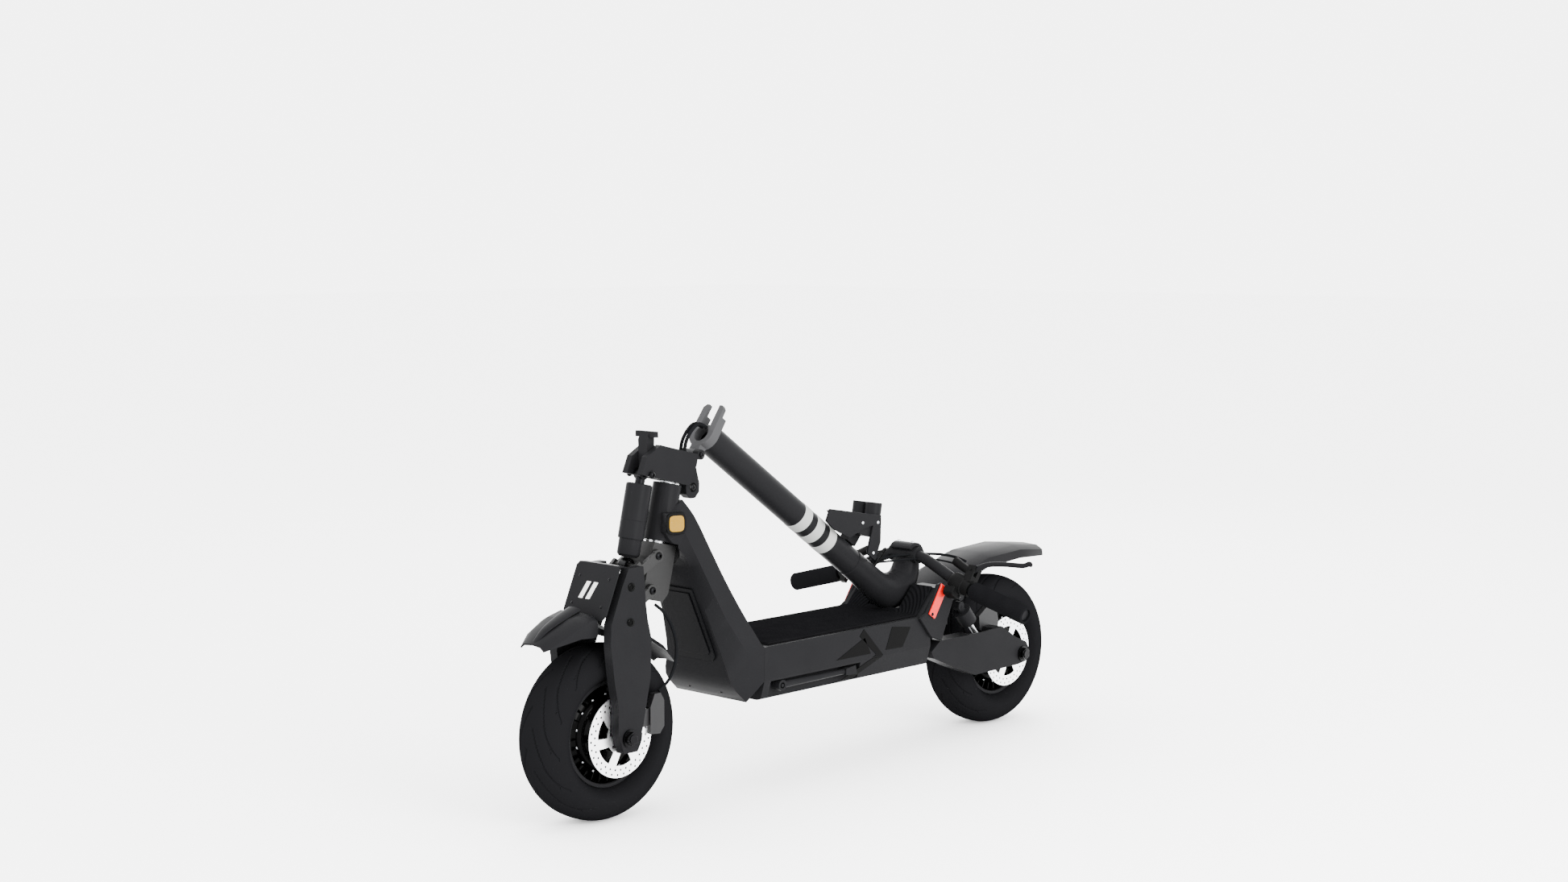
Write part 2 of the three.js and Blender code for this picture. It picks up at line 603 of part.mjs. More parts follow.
// ---------------------------------------------------------------- steering: bracket, steerer, links
function makeHeadBracket() {
  const b = BRACKET_HALF_WIDTH;
  const body = profile([[-38, -GAP], [54, -GAP], [81, -26], [86, -BRACKET_DEPTH], [44, -BRACKET_DEPTH],
    [-29, -BRACKET_DEPTH], [-38, -20]], -b, b);
  const knuckles = crossRod([-HINGE_BACK, 0], -b, b, KNUCKLE_RADIUS, 24);
  const slot = block(38, 100, -KNUCKLE_HALF - GAP, KNUCKLE_HALF + GAP, -80, 10);
  const middle = crossRod([-HINGE_BACK, 0], -KNUCKLE_HALF - GAP, KNUCKLE_HALF + GAP, KNUCKLE_RADIUS + 1,
    24);
  const hingeHole = crossRod([-HINGE_BACK, 0], -50, 50, 4 + RUNNING);
  const bolt = crossRod(SHOCK_TOP, -50, 50, 4 + GAP);
  const leverSlot = block(-60, -24, -5, 19, -60, -10);
  return cut(join(body, knuckles), slot, middle, hingeHole, bolt, leverSlot,
    rod(v3(0, 0, -70), v3(0, 0, -12), STEERER_RADIUS + GAP, 24));
}
add(steering, "head_bracket", makeHeadBracket(), "satinBlack");
add(steering, "steerer_tube", rod(v3(0, 0, -262), v3(0, 0, -14), STEERER_RADIUS, 24), "steel");
add(steering, "fold_hinge_pin", rod(v3(-HINGE_BACK, -27, 0), v3(-HINGE_BACK, 27, 0), 4, 16), "steel");

const lowerPivot = [LINK_PIVOT[0], LINK_PIVOT[1] - LINK_SPACING];
const forkUpper = [LINK_PIVOT[0] + LINK_FORWARD, LINK_PIVOT[1] - LINK_DROP];
const forkLower = [lowerPivot[0] + LINK_FORWARD, lowerPivot[1] - LINK_DROP];

function makeLowerBracket() {
  const body = profile([[-24, -164], [28, -164], [34, LINK_PIVOT[1] - 4], [34, lowerPivot[1] - 8],
    [22, lowerPivot[1] - 16], [-14, lowerPivot[1] - 16], [-24, lowerPivot[1]]], -24, 24);
  const holes = [LINK_PIVOT, lowerPivot].map((p) => crossRod(p, -40, 40, PIVOT_RADIUS + RUNNING));
  const top = rod(v3(0, 0, -300), v3(0, 0, -150), STEERER_RADIUS + GAP, 24);
  return cut(body, ...holes, top);
}
add(steering, "lower_bracket", makeLowerBracket(), "linkGrey");

function makeLink(from, to, extra) {
  const plates = [1, -1].map((side) => {
    const y0 = side > 0 ? 26 : -33;
    const dx = to[0] - from[0];
    const dz = to[1] - from[1];
    const n = Math.hypot(dx, dz);
    const nx = (-dz / n) * 9;
    const nz = (dx / n) * 9;
    const bar = profile([[from[0] + nx, from[1] + nz], [to[0] + nx, to[1] + nz], [to[0] - nx, to[1] - nz],
      [from[0] - nx, from[1] - nz]], y0, y0 + 7);
    return join(bar, crossRod(from, y0, y0 + 7, 11), crossRod(to, y0, y0 + 7, 11), ...extra(y0));
  });
  const pin = crossRod(from, -30, 30, PIVOT_RADIUS);
  return [join(...plates, pin), crossRod(to, -50, 50, PIVOT_RADIUS + RUNNING)];
}
const [upperLink, upperHole] = makeLink(LINK_PIVOT, forkUpper, (y0) => [
  profile([[SHOCK_FOOT[0] - 14, SHOCK_FOOT[1] - 2], [SHOCK_FOOT[0] + 2, SHOCK_FOOT[1] + 9],
    [SHOCK_FOOT[0] + 12, SHOCK_FOOT[1] - 4], [SHOCK_FOOT[0] + 6, SHOCK_FOOT[1] - 20],
    [SHOCK_FOOT[0] - 24, SHOCK_FOOT[1] - 2]], y0, y0 + 7)]);
const shockPin = crossRod(SHOCK_FOOT, -30, 30, 4);
add(steering, "front_link_upper", cut(join(upperLink, shockPin), upperHole), "linkGrey");
const [lowerLink, lowerHole] = makeLink(lowerPivot, forkLower, () => []);
add(steering, "front_link_lower", cut(lowerLink, lowerHole), "linkGrey");

const frontEye = { half: 9, radius: 10, bodyStart: 20, overlap: 30, footRadius: 12, footHole: 7.5 };
const frontShock = makeShock(SHOCK_TOP, SHOCK_FOOT, 0, FRONT_SHOCK_RADIUS, 112, 9, frontEye);
add(steering, "front_shock_body", join(frontShock.body, shockBolt()), "satinBlack");
add(steering, "front_shock_rod", frontShock.rod, "steel");

// The bolt through the bracket's lugs that the shock hangs on.
function shockBolt() {
  return crossRod(SHOCK_TOP, -BRACKET_HALF_WIDTH - 4, BRACKET_HALF_WIDTH + 4, 4, 16);
}

// ---------------------------------------------------------------- latch
function makeLatchHook() {
  const foot = [56, -34];
  const half = KNUCKLE_HALF - 1;
  const body = profile([[foot[0] - 7, foot[1] - 6], [foot[0] + 7, foot[1] - 7], [76, 4], [73, 19], [62, 20],
    [58, 6]], -half, half);
  const bar = profile([[61, 11], [72, 9], [74, 19], [64, 21]], -23, 23);
  return join(body, bar, crossRod(foot, -half, half, 8));
}
add(steering, "latch_hook", makeLatchHook(), "satinBlack");
function makeLatchLever() {
  const outline = [[-33, -14], [-46, -23], [-60, -48], [-63, -63], [-56, -75], [-45, -78], [-33, -72],
    [-29, -60],
    [-27, -22]];
  return cut(profile(outline, -3, 17), crossRod([-46, -58], -10, 30, 8));
}
add(steering, "latch_lever", makeLatchLever(), "satinBlack");

// ---------------------------------------------------------------- fork
const legRings = (() => {
  const x = frontAxle.x;
  const up = shoulder;
  const low = frontAxle.z;
  const ring = (x0, x1, y0, y1, z) => [[x + x0, y0, z], [x + x1, y0, z], [x + x1, y1, z], [x + x0, y1, z]];
  const topInner = 37.5;
  const topOuter = 55;
  return [
    ring(-57, -24, topInner, topOuter, up + 130),
    ring(-60, -9, topInner, topOuter, up + 100),
    ring(-61, 4, topInner, topOuter + 1, up + 70),
    ring(-60, 22, topInner + 6, topOuter + 7, up + 40),
    ring(-57, 34, legInner - 5, legOuter - 6, up + 10),
    ring(-51, 36, legInner, legOuter, up - 15),
    ring(-49, 31, legInner, legOuter, low + 95),
    ring(-40, 23, legInner, legOuter, low + 55),
    ring(-30, 23, legInner, legOuter, low + 10),
    ring(-18, 12, legInner, legOuter, low - 25),
  ];
})();
function forkPins(side) {
  return [forkUpper, forkLower].map((p) => {
    const at = fromSteering(p);
    return side > 0 ? crossRod(at, 25, 48, PIVOT_RADIUS) : crossRod(at, -48, -25, PIVOT_RADIUS);
  });
}
function forkLeg(side) {
  const leg = loft(legRings, seenFromAbove);
  const base = side > 0 ? leg : mirrored(leg);
  return cut(join(base, ...forkPins(side)), crossRod([frontAxle.x, frontAxle.z], -120, 120,
    AXLE_RADIUS + GAP));
}
add(scooter, "fork_leg_left", forkLeg(1), "satinBlack");
add(scooter, "fork_leg_right", forkLeg(-1), "satinBlack");

const crownTilt = 22.8 * rad;
function makeCrown() {
  const x = frontAxle.x;
  const z = shoulder;
  return profile([[x - 19, z + 122], [x - 9, z + 124], [x + 20, z + 50], [x + 4, z + 48], [x - 26,
    z + 114]], -37.2, 37.2);
}
add(scooter, "fork_crown", makeCrown(), "satinBlack");
function makeCrownPlate() {
  const shape = new THREE.Shape([[-51, -8], [-44, 2], [44, 2], [51, -8], [50, -70], [40, -80], [-40, -80],
    [-50, -70]]
    .map(([y, s]) => new THREE.Vector2(y, s)));
  const plate = new THREE.ExtrudeGeometry(shape, { depth: 3.5, bevelEnabled: false });
  plate.applyMatrix4(new THREE.Matrix4().makeBasis(v3(0, 1, 0), v3(-Math.sin(crownTilt), 0,
    Math.cos(crownTilt)),
    v3(Math.cos(crownTilt), 0, Math.sin(crownTilt))));
  return plate.translate(frontAxle.x - 5, 0, shoulder + 124);
}
add(scooter, "crown_plate", makeCrownPlate(), "satinBlack");

function makeFrontFender() {
  const x = frontAxle.x;
  const z = shoulder;
  const w = TYRE_HALF_WIDTH;
  const rings = [[-158, -46, 10, 33], [-131, -16, 12, 34], [-93, 8, 12, 34], [-50, 20, 12, 34], [-10, 24,
    14, 34],
    [8, 36, 20, 34], [27, 44, 22, 34], [38, 58, 36, w - 5], [50, 61, 40, w - 3], [77, 53, 30, w - 1],
    [112, 35, 18, w - 5], [140, 18, 10, w - 20]];
  return loft(rings.map(([dx, top, drop, half]) => archRing(x + dx, z + top, z + top - drop, half, 3)),
    seenFromAhead);
}
add(scooter, "front_fender", makeFrontFender(), "satinBlack");
add(scooter, "front_axle", axleWithNuts(frontAxle, legOuter), "steel");

// A brake caliper astride the rotor's edge, seen from the side as corners about its axle.
function makeCaliper(axle, outer, corners, bracket) {
  const inner = rotorY - 4.6;
  const body = profile(corners.map(([x, z]) => [axle.x + x, axle.z + z]), inner, outer);
  const slot = turned([[0.1, rotorY - ROTOR_THICKNESS / 2 - 1], [ROTOR_RADIUS + 2,
    rotorY - ROTOR_THICKNESS / 2 - 1],
    [ROTOR_RADIUS + 2, rotorY + ROTOR_THICKNESS / 2 + 1], [0.1, rotorY + ROTOR_THICKNESS / 2 + 1]], 48);
  slot.translate(axle.x, 0, axle.z);
  const plate = profile(bracket.map(([x, z]) => [axle.x + x, axle.z + z]),
    rotorY + ROTOR_THICKNESS / 2 + 1.1,
    legInner - GAP);
  return join(cut(body, slot), plate);
}
add(scooter, "front_caliper", makeCaliper(frontAxle, legInner + 4,
  [[-62, -6], [-62, 40], [-72, 62], [-86, 62], [-94, 48], [-94, 4], [-84, -8]],
  [[-80, 10], [-80, 40], [-26, 34], [-24, 6]]), "steel");
add(scooter, "rear_caliper", makeCaliper(rearAxle, swingInner - 0.6,
  [[42, 46], [70, 46], [96, 56], [98, 84], [60, 108], [44, 100], [36, 66]],
  [[40, 62], [64, 62], [60, 20], [28, 20]]), "steel");

// ---------------------------------------------------------------- stem
const HINGE_BORE = 4 + RUNNING;

// A forked flange: round about the tube behind, two prongs ahead, and a knuckle on the fold hinge.
function makeStemBase() {
  const b = BRACKET_HALF_WIDTH;
  const t = FLANGE_THICKNESS;
  const round = STEM_RADIUS + 1;
  const outline = new THREE.Shape();
  outline.moveTo(0, -round);
  outline.lineTo(PRONG_REACH - 6, -b);
  outline.lineTo(PRONG_REACH, -b + 6);
  outline.lineTo(PRONG_REACH, b - 6);
  outline.lineTo(PRONG_REACH - 6, b);
  outline.lineTo(0, round);
  outline.absarc(0, 0, round, Math.PI / 2, 1.5 * Math.PI, false);
  const flange = new THREE.ExtrudeGeometry(outline, { depth: t - GAP / 2, bevelEnabled: false,
    curveSegments: 12 });
  flange.translate(0, 0, GAP / 2);
  const notch = block(16, 80, -KNUCKLE_HALF - GAP, KNUCKLE_HALF + GAP, -20, 60);
  const barSeat = block(36, 80, -b - 5, b + 5, PRONG_THICKNESS, t + 5);
  const window = rod(v3(-2, 0, -5), v3(-2, 0, t + 5), 15, 28);
  const knuckle = crossRod([-HINGE_BACK, 0], -KNUCKLE_HALF + GAP, KNUCKLE_HALF - GAP, KNUCKLE_RADIUS, 24);
  const web = profile([[-HINGE_BACK, GAP / 2], [-22, GAP / 2], [-22, t], [-HINGE_BACK + 2, KNUCKLE_RADIUS]],
    -KNUCKLE_HALF + GAP, KNUCKLE_HALF - GAP);
  return cut(join(cut(flange, notch, barSeat, window), knuckle, web), crossRod([-HINGE_BACK, 0], -50, 50,
    HINGE_BORE));
}
add(stem, "stem_base", makeStemBase(), "satinBlack");

const tube = (from, to, outer, inner, segments) => cut(rod(from, to, outer, segments),
  rod(from.clone().addScaledVector(to.clone().sub(from).normalize(), -1),
    to.clone().addScaledVector(to.clone().sub(from).normalize(), 1), inner, segments));
add(stem, "stem_tube", tube(v3(0, 0, STEM_TUBE_START), v3(0, 0, STEM_TUBE_END), STEM_RADIUS,
  STEM_RADIUS - STEM_WALL, 32),
  "satinBlack");

const barCentre = v3(BAR_REACH, 0, BAR_RISE);
function makeGooseneck() {
  const z = BAR_RISE;
  const neck = swept([v3(0, 0, STEM_TUBE_END + GAP), v3(0, 0, z - 80), v3(6, 0, z - 30), v3(28, 0, z + 6),
    v3(58, 0, z + 10), v3(BAR_REACH - 10, 0, z)], STEM_RADIUS + 0.5, 20, 28);
  const saddle = rod(v3(BAR_REACH, -26, z), v3(BAR_REACH, 26, z), 24, 28);
  const ahead = block(BAR_REACH + GAP, BAR_REACH + 60, -60, 60, z - 60, z + 60);
  const bore = rod(v3(BAR_REACH, -60, z), v3(BAR_REACH, 60, z), BAR_RADIUS + 5 + GAP, 24);
  const below = block(-80, 80, -60, 60, z - 200, STEM_TUBE_END + GAP);
  return cut(join(neck, saddle), ahead, bore, below);
}
add(stem, "gooseneck", makeGooseneck(), "satinBlack");
function makeBarClamp() {
  const z = BAR_RISE;
  const cap = cut(rod(v3(BAR_REACH, -26, z), v3(BAR_REACH, 26, z), 24, 28),
    block(BAR_REACH - 60, BAR_REACH + 2 * GAP, -60, 60, z - 60, z + 60),
    rod(v3(BAR_REACH, -60, z), v3(BAR_REACH, 60, z), BAR_RADIUS + 5 + GAP, 24));
  return cap;
}
add(stem, "bar_clamp", makeBarClamp(), "satinBlack");

// The bar's outer, straight stretch, from y to its end, measured on the left side.
const bendY = 140;
const bendPoint = v3(BAR_REACH - 38, bendY, BAR_RISE + 27);
const endPoint = v3(BAR_REACH - 71, BAR_HALF_LENGTH, BAR_RISE + 50);
function barPoint(y, side = 1) {
  const t = (y - bendY) / (BAR_HALF_LENGTH - bendY);
  const p = bendPoint.clone().lerp(endPoint, t);
  p.y *= side;
  return p;
}
const barDirection = endPoint.clone().sub(bendPoint).normalize();

function makeHandlebar() {
  const half = [[30, 0, 0], [60, -8, 5], [100, -23, 17]].map(([y, f, u]) => v3(BAR_REACH + f, y,
    BAR_RISE + u));
  const left = [...half, barPoint(bendY), barPoint(170), barPoint(230), barPoint(BAR_HALF_LENGTH - 4)];
  const right = left.map((p) => v3(p.x, -p.y, p.z)).reverse();
  return join(swept([...right, ...left], BAR_RADIUS, 36, 16),
    rod(v3(BAR_REACH, -34, BAR_RISE), v3(BAR_REACH, 34, BAR_RISE), BAR_RADIUS + 5, 24));
}
add(stem, "handlebar", makeHandlebar(), "satinBlack");

const boreRadius = BAR_RADIUS + 1;
function ringOnBar(y0, y1, radius, side) {
  return tube(barPoint(y0, side), barPoint(y1, side), radius, boreRadius, 24);
}
const gripStart = BAR_HALF_LENGTH - GRIP_LENGTH;
add(stem, "grip_left", ringOnBar(gripStart, BAR_HALF_LENGTH, GRIP_RADIUS, 1), "rubber");
add(stem, "grip_right", ringOnBar(gripStart, BAR_HALF_LENGTH, GRIP_RADIUS, -1), "rubber");

// ---------------------------------------------------------------- controls
const perchY = gripStart - 14;
const leverReach = 34;
function leverPivot(side) {
  const p = barPoint(perchY, side);
  return v3(p.x + leverReach, p.y, p.z - 6);
}
function makePerch(side) {
  const p = barPoint(perchY, side);
  const pivot = leverPivot(side);
  const ring = ringOnBar(perchY - 8, perchY + 8, 16, side);
  const arm = cut(block(p.x + 8, pivot.x + 9, p.y - 9, p.y + 9, p.z - 14, p.z + 8),
    rod(barPoint(perchY - 40, side), barPoint(perchY + 40, side), boreRadius + 1, 24));
  const reservoir = rod(v3(p.x + 32, p.y - side * 8, p.z - 6), v3(p.x + 47, p.y - side * 44, p.z - 14),
    8.5, 16);
  const jaw = block(pivot.x - 12, pivot.x + 20, p.y - 30, p.y + 30, pivot.z - 4.4, pivot.z + 4.4);
  const pin = rod(v3(pivot.x, pivot.y, pivot.z - 10), v3(pivot.x, pivot.y, pivot.z + 10), 3, 12);
  return join(cut(join(ring, arm, reservoir), jaw), pin);
}
function makeLever(side) {
  const p = leverPivot(side);
  const s = side;
  const at = (x, y) => [p.x + x, p.y + s * y];
  const outline = [at(-7, -8), at(8, -8), at(15, 14), at(22, 60), at(24, 112), at(30, 124), at(22, 130),
    at(14, 122),
    at(12, 64), at(3, 16), at(-7, 8)];
  const shape = new THREE.Shape(outline.map(([x, y]) => new THREE.Vector2(x, y)));
  const blade = new THREE.ExtrudeGeometry(shape, { depth: 8, bevelEnabled: false }).translate(0, 0,
    p.z - 4);
  return cut(blade, rod(v3(p.x, p.y, p.z - 10), v3(p.x, p.y, p.z + 10), 3 + RUNNING, 12));
}
add(stem, "lever_perch_left", makePerch(1), "plastic");
add(stem, "lever_perch_right", makePerch(-1), "plastic");
add(stem, "brake_lever_left", makeLever(1), "satinBlack");
add(stem, "brake_lever_right", makeLever(-1), "satinBlack");

function makeControlPod() {
  const y = bendY - 12;
  const p = v3(BAR_REACH - 32, y, BAR_RISE + 23);
  const along = barDirection.clone().multiplyScalar(11);
  const body = rod(p.clone().sub(along), p.clone().add(along), 20, 20);
  const switches = block(p.x - 34, p.x - 6, y - 12, y + 10, p.z - 16, p.z + 10);
  return cut(join(body, switches), rod(p.clone().addScaledVector(along, -4),
    p.clone().addScaledVector(along, 4), boreRadius + 3.5, 20));
}
add(stem, "control_pod", makeControlPod(), "plastic");

function makeThrottle() {
  const ring = tube(barPoint(bendY - 6, -1), barPoint(bendY + 1, -1), 16, boreRadius + 1.4, 24);
  const p = barPoint(bendY - 3, -1);
  const paddle = block(p.x - 34, p.x - 13, p.y - 7, p.y + 6, p.z - 18, p.z - 8);
  const web = block(p.x - 22, p.x - 13.5, p.y - 4, p.y + 4, p.z - 14, p.z + 2);
  return join(ring, web, paddle);
}
add(stem, "throttle_lever", makeThrottle(), "plastic");

// ---------------------------------------------------------------- headlight
const LAMP_RADIUS = 16.2;
const LAMP_SPREAD = 16;             // each lamp barrel from the middle
const LAMP_LENGTH = 62;
const LAMP_TILT = 25;               // how far the lamps look down, degrees
const SIDE_PLATE = 5;
const CLAMP_HALF = 17;
const lampRim = v3(120, 0, 452);

// Two lamp barrels between side plates, on a ring clamped round the stem.
function makeHeadlight() {
  const shine = v3(Math.cos(LAMP_TILT * rad), 0, -Math.sin(LAMP_TILT * rad));
  const barrels = [1, -1].map((side) => {
    const front = v3(lampRim.x, side * LAMP_SPREAD, lampRim.z);
    const ahead = front.clone().addScaledVector(shine, 5);
    const lens = front.clone().addScaledVector(shine, -8);
    return cut(rod(front.clone().addScaledVector(shine, -LAMP_LENGTH), front, LAMP_RADIUS, 28),
      rod(lens, ahead, LAMP_RADIUS - 3, 28));
  });
  const inner = LAMP_SPREAD + LAMP_RADIUS;
  const leftSide = profile([[15, 336], [39, 332], [77, 414], [100, 463], [58, 491], [21, 498], [21, 471],
    [73, 454], [54, 434], [21, 410], [13, 363]], inner - 0.5, inner + SIDE_PLATE);
  const rightSide = profile([[66, 396], [77, 414], [100, 463], [58, 491], [21, 498], [21, 471], [73, 454],
    [54, 434]], -inner - SIDE_PLATE, -inner + 0.5);
  const spine = profile([[42, 428], [60, 438], [76, 452], [84, 470], [66, 484], [52, 462]], -inner, inner);
  const clamp = rod(v3(0, 0, 445 - CLAMP_HALF), v3(0, 0, 445 + CLAMP_HALF), STEM_RADIUS + 6, 28);
  const arm = block(20, 62, -LAMP_SPREAD, LAMP_SPREAD, 430, 460);
  return cut(join(...barrels, leftSide, rightSide, spine, clamp, arm),
    rod(v3(0, 0, 400), v3(0, 0, 500), STEM_RADIUS + GAP, 32));
}
add(stem, "headlight_housing", makeHeadlight(), "satinBlack");

// ---------------------------------------------------------------- cables and hose
// A cable through the points of its route.
const cable = (points, radius, steps) => swept(points.map((p) => v3(...p)), radius, steps, 8);
const hosePoints = [[424, 37.5, 358], [408, 39, 345], [394, 44, 322], [389, 52, 290], [396, 57, 256], [412,
  58.5, 230],
  [436, 58.5, 213.5]];
add(scooter, "front_brake_hose", cable(hosePoints, 2.8, 24), "rubber");
const foldCable = (y) => [[324.3, y, 611.2], [320, y, 628], [307, y, 646], [290, y, 656], [271, y, 649.2]];
add(scooter, "fold_cable_left", cable(foldCable(7), 3.2, 12), "rubber");
add(scooter, "fold_cable_right", cable(foldCable(-3), 3.2, 12), "rubber");

export default scooter;
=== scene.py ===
import json
import math

import bmesh
import bpy
from mathutils import Matrix, Vector


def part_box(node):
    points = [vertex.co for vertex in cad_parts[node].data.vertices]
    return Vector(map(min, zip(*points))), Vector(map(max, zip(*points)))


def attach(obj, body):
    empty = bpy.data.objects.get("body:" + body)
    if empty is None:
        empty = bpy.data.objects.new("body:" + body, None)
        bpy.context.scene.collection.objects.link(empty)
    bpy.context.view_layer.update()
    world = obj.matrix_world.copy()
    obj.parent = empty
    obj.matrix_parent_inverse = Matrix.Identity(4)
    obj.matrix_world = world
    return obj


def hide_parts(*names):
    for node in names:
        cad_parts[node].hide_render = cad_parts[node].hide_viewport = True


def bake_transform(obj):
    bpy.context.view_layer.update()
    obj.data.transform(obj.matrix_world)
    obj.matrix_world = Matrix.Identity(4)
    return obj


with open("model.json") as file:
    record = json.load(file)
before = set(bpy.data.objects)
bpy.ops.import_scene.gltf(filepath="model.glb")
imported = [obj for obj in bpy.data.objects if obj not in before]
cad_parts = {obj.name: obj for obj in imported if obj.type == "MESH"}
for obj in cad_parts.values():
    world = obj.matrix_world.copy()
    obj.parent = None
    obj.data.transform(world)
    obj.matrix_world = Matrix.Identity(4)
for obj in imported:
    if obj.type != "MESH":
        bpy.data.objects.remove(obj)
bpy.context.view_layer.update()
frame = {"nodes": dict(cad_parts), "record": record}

MM = 0.001
ACROSS = Vector((0, 1, 0))

# ------------------------------------------------------------ camera, floor and light
# A long view from ahead and to the left, at the height of a table top, in a white studio with
# two large soft boxes and a pale floor.
EYE = Vector((2.9199, 2.7247, 0.9784))
GAZE = Vector((-0.72002, -0.68773, -0.09275))

camera = bpy.data.objects.new("camera", bpy.data.cameras.new("camera"))
camera.data.lens = 50
camera.data.sensor_width = 36
camera.location = EYE
camera.rotation_euler = GAZE.to_track_quat("-Z", "Y").to_euler()
bpy.context.scene.collection.objects.link(camera)
bpy.context.scene.camera = camera


def linear(hex_colour):
    """An sRGB hex colour as linear red, green, blue and alpha."""
    parts = [int(hex_colour[i:i + 2], 16) / 255 for i in (0, 2, 4)]
    return [c / 12.92 if c <= 0.04045 else ((c + 0.055) / 1.055) ** 2.4 for c in parts] + [1.0]


def softbox(name, place, target, size, power):
    """A square area light at a place, facing a target."""
    light = bpy.data.lights.new(name, "AREA")
    light.size = size
    light.energy = power
    obj = bpy.data.objects.new(name, light)
    obj.location = place
    obj.rotation_euler = (Vector(target) - Vector(place)).to_track_quat("-Z", "Y").to_euler()
    bpy.context.scene.collection.objects.link(obj)


softbox("key_light", (0.3, 3.4, 1.5), (0, 0, 0.3), 1.8, 270)
softbox("front_light", (3.6, -0.4, 2.2), (0.2, 0, 0.3), 1.4, 60)
softbox("back_light", (-2.6, -1.6, 2.6), (0, 0, 0.2), 2.0, 60)

world = bpy.data.worlds.new("studio")
world.use_nodes = True
world.node_tree.nodes["Background"].inputs["Color"].default_value = linear("ffffff")
world.node_tree.nodes["Background"].inputs["Strength"].default_value = 5.6
bpy.context.scene.world = world

floor_mesh = bpy.data.meshes.new("floor")
FLOOR_REACH = 30.0
floor_mesh.from_pydata([(-FLOOR_REACH, -FLOOR_REACH, 0), (FLOOR_REACH, -FLOOR_REACH, 0),
                        (FLOOR_REACH, FLOOR_REACH, 0), (-FLOOR_REACH, FLOOR_REACH, 0)], [], [(0, 1, 2, 3)])
floor = bpy.data.objects.new("floor", floor_mesh)
bpy.context.scene.collection.objects.link(floor)
floor_paint = bpy.data.materials.new("matt_white_paint")
floor_paint.use_nodes = True
floor_paint.node_tree.nodes["Principled BSDF"].inputs["Base Color"].default_value = linear("fafafa")
floor_paint.node_tree.nodes["Principled BSDF"].inputs["Roughness"].default_value = 0.9
floor_mesh.materials.append(floor_paint)

# ------------------------------------------------------------ painted frame
# The deck, neck and tail are one aluminium weldment, and the small frames and covers bolted to it
# are the same metal, all in a fine satin black powder coat with softly rounded edges.
body_of = {node: body for body, nodes in frame["record"]["behaviour"]["bodies"].items() for node in nodes}


def add_node(tree, kind, inputs=None, **settings):
    """Adds one node; an input that is a socket is linked, and any other is set."""
    made = tree.nodes.new(kind)
    for key, value in settings.items():
        setattr(made, key, value)
    for key, value in (inputs or {}).items():
        if isinstance(value, bpy.types.NodeSocket):
            tree.links.new(value, made.inputs[key])
        else:
            made.inputs[key].default_value = value
    return made


def new_material(name):
    """A material and its tree and shader, ready for a pattern in Object coordinates."""
    material = bpy.data.materials.new(name)
    material.use_nodes = True
    tree = material.node_tree
    place = add_node(tree, "ShaderNodeTexCoord").outputs["Object"]
    return material, tree, tree.nodes["Principled BSDF"], place


def powder_coat(name, colour, lighter, roughness, peel, sheen=0.012):
    """Baked powder: a fine orange peel, faint clouds of colour and slightly uneven gloss."""
    material, tree, shader, place = new_material(name)
    cloud = add_node(tree, "ShaderNodeTexNoise", {"Vector": place, "Scale": 14.0, "Detail": 4.0})
    tone = add_node(tree, "ShaderNodeMix",
                    {"Factor": cloud.outputs["Fac"], "A": linear(colour), "B": linear(lighter)},
                    data_type="RGBA")
    # The real grain is about 0.3 mm; drawn at 0.8 mm so that it still shows.
    grain = add_node(tree, "ShaderNodeTexNoise", {"Vector": place, "Scale": 1250.0, "Detail": 2.0})
    bump = add_node(tree, "ShaderNodeBump",
                    {"Height": grain.outputs["Fac"], "Strength": peel, "Distance": 0.0002})
    gloss = add_node(tree, "ShaderNodeMapRange", {"Value": cloud.outputs["Fac"], "To Min": roughness - 0.04,
                                                  "To Max": roughness + 0.05})
    tree.links.new(tone.outputs["Result"], shader.inputs["Base Color"])
    tree.links.new(bump.outputs["Normal"], shader.inputs["Normal"])
    tree.links.new(gloss.outputs["Result"], shader.inputs["Roughness"])
    shader.inputs["Specular IOR Level"].default_value = sheen
    return material


satin_black = powder_coat("satin_black_powder_coat", "0e0e0f", "121213", 0.34, 0.1)


def settle(obj, node_or_body, replaces=()):
    """Shades a piece, rides it on its body and hides the CAD parts it stands for."""
    for face in obj.data.polygons:
        face.use_smooth = True
    obj.data.set_sharp_from_angle(angle=math.radians(32))
    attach(obj, body_of.get(node_or_body, node_or_body))
    if replaces:
        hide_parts(*replaces)
    return obj


def stand_for(obj, node):
    """Settles a piece that takes the place of one CAD node."""
    return settle(obj, node, [node])


def link_mesh(name, mesh, material):
    """A new object at the origin holding one mesh of one material."""
    obj = bpy.data.objects.new(name, mesh)
    bpy.context.scene.collection.objects.link(obj)
    mesh.materials.clear()
    mesh.materials.append(material)
    return obj


def eased(node, material, edge=1.2):
    """A CAD node's shape with its edges eased, edge in millimetres, standing for the node."""
    solid = bmesh.new()
    solid.from_mesh(frame["nodes"][node].data)
    bmesh.ops.remove_doubles(solid, verts=solid.verts, dist=3e-6)
    bmesh.ops.dissolve_limit(solid, angle_limit=math.radians(0.6), verts=solid.verts, edges=solid.edges)
    mesh = bpy.data.meshes.new(node + "_eased")
    solid.to_mesh(mesh)
    solid.free()
    obj = link_mesh(node + "_eased", mesh, material)
    stand_for(obj, node)
    bevel = obj.modifiers.new("eased edges", "BEVEL")
    bevel.width = edge * MM
    bevel.segments = 3
    bevel.limit_method = "ANGLE"
    bevel.angle_limit = math.radians(33)
    bevel.harden_normals = True
    bevel.use_clamp_overlap = True
    return obj


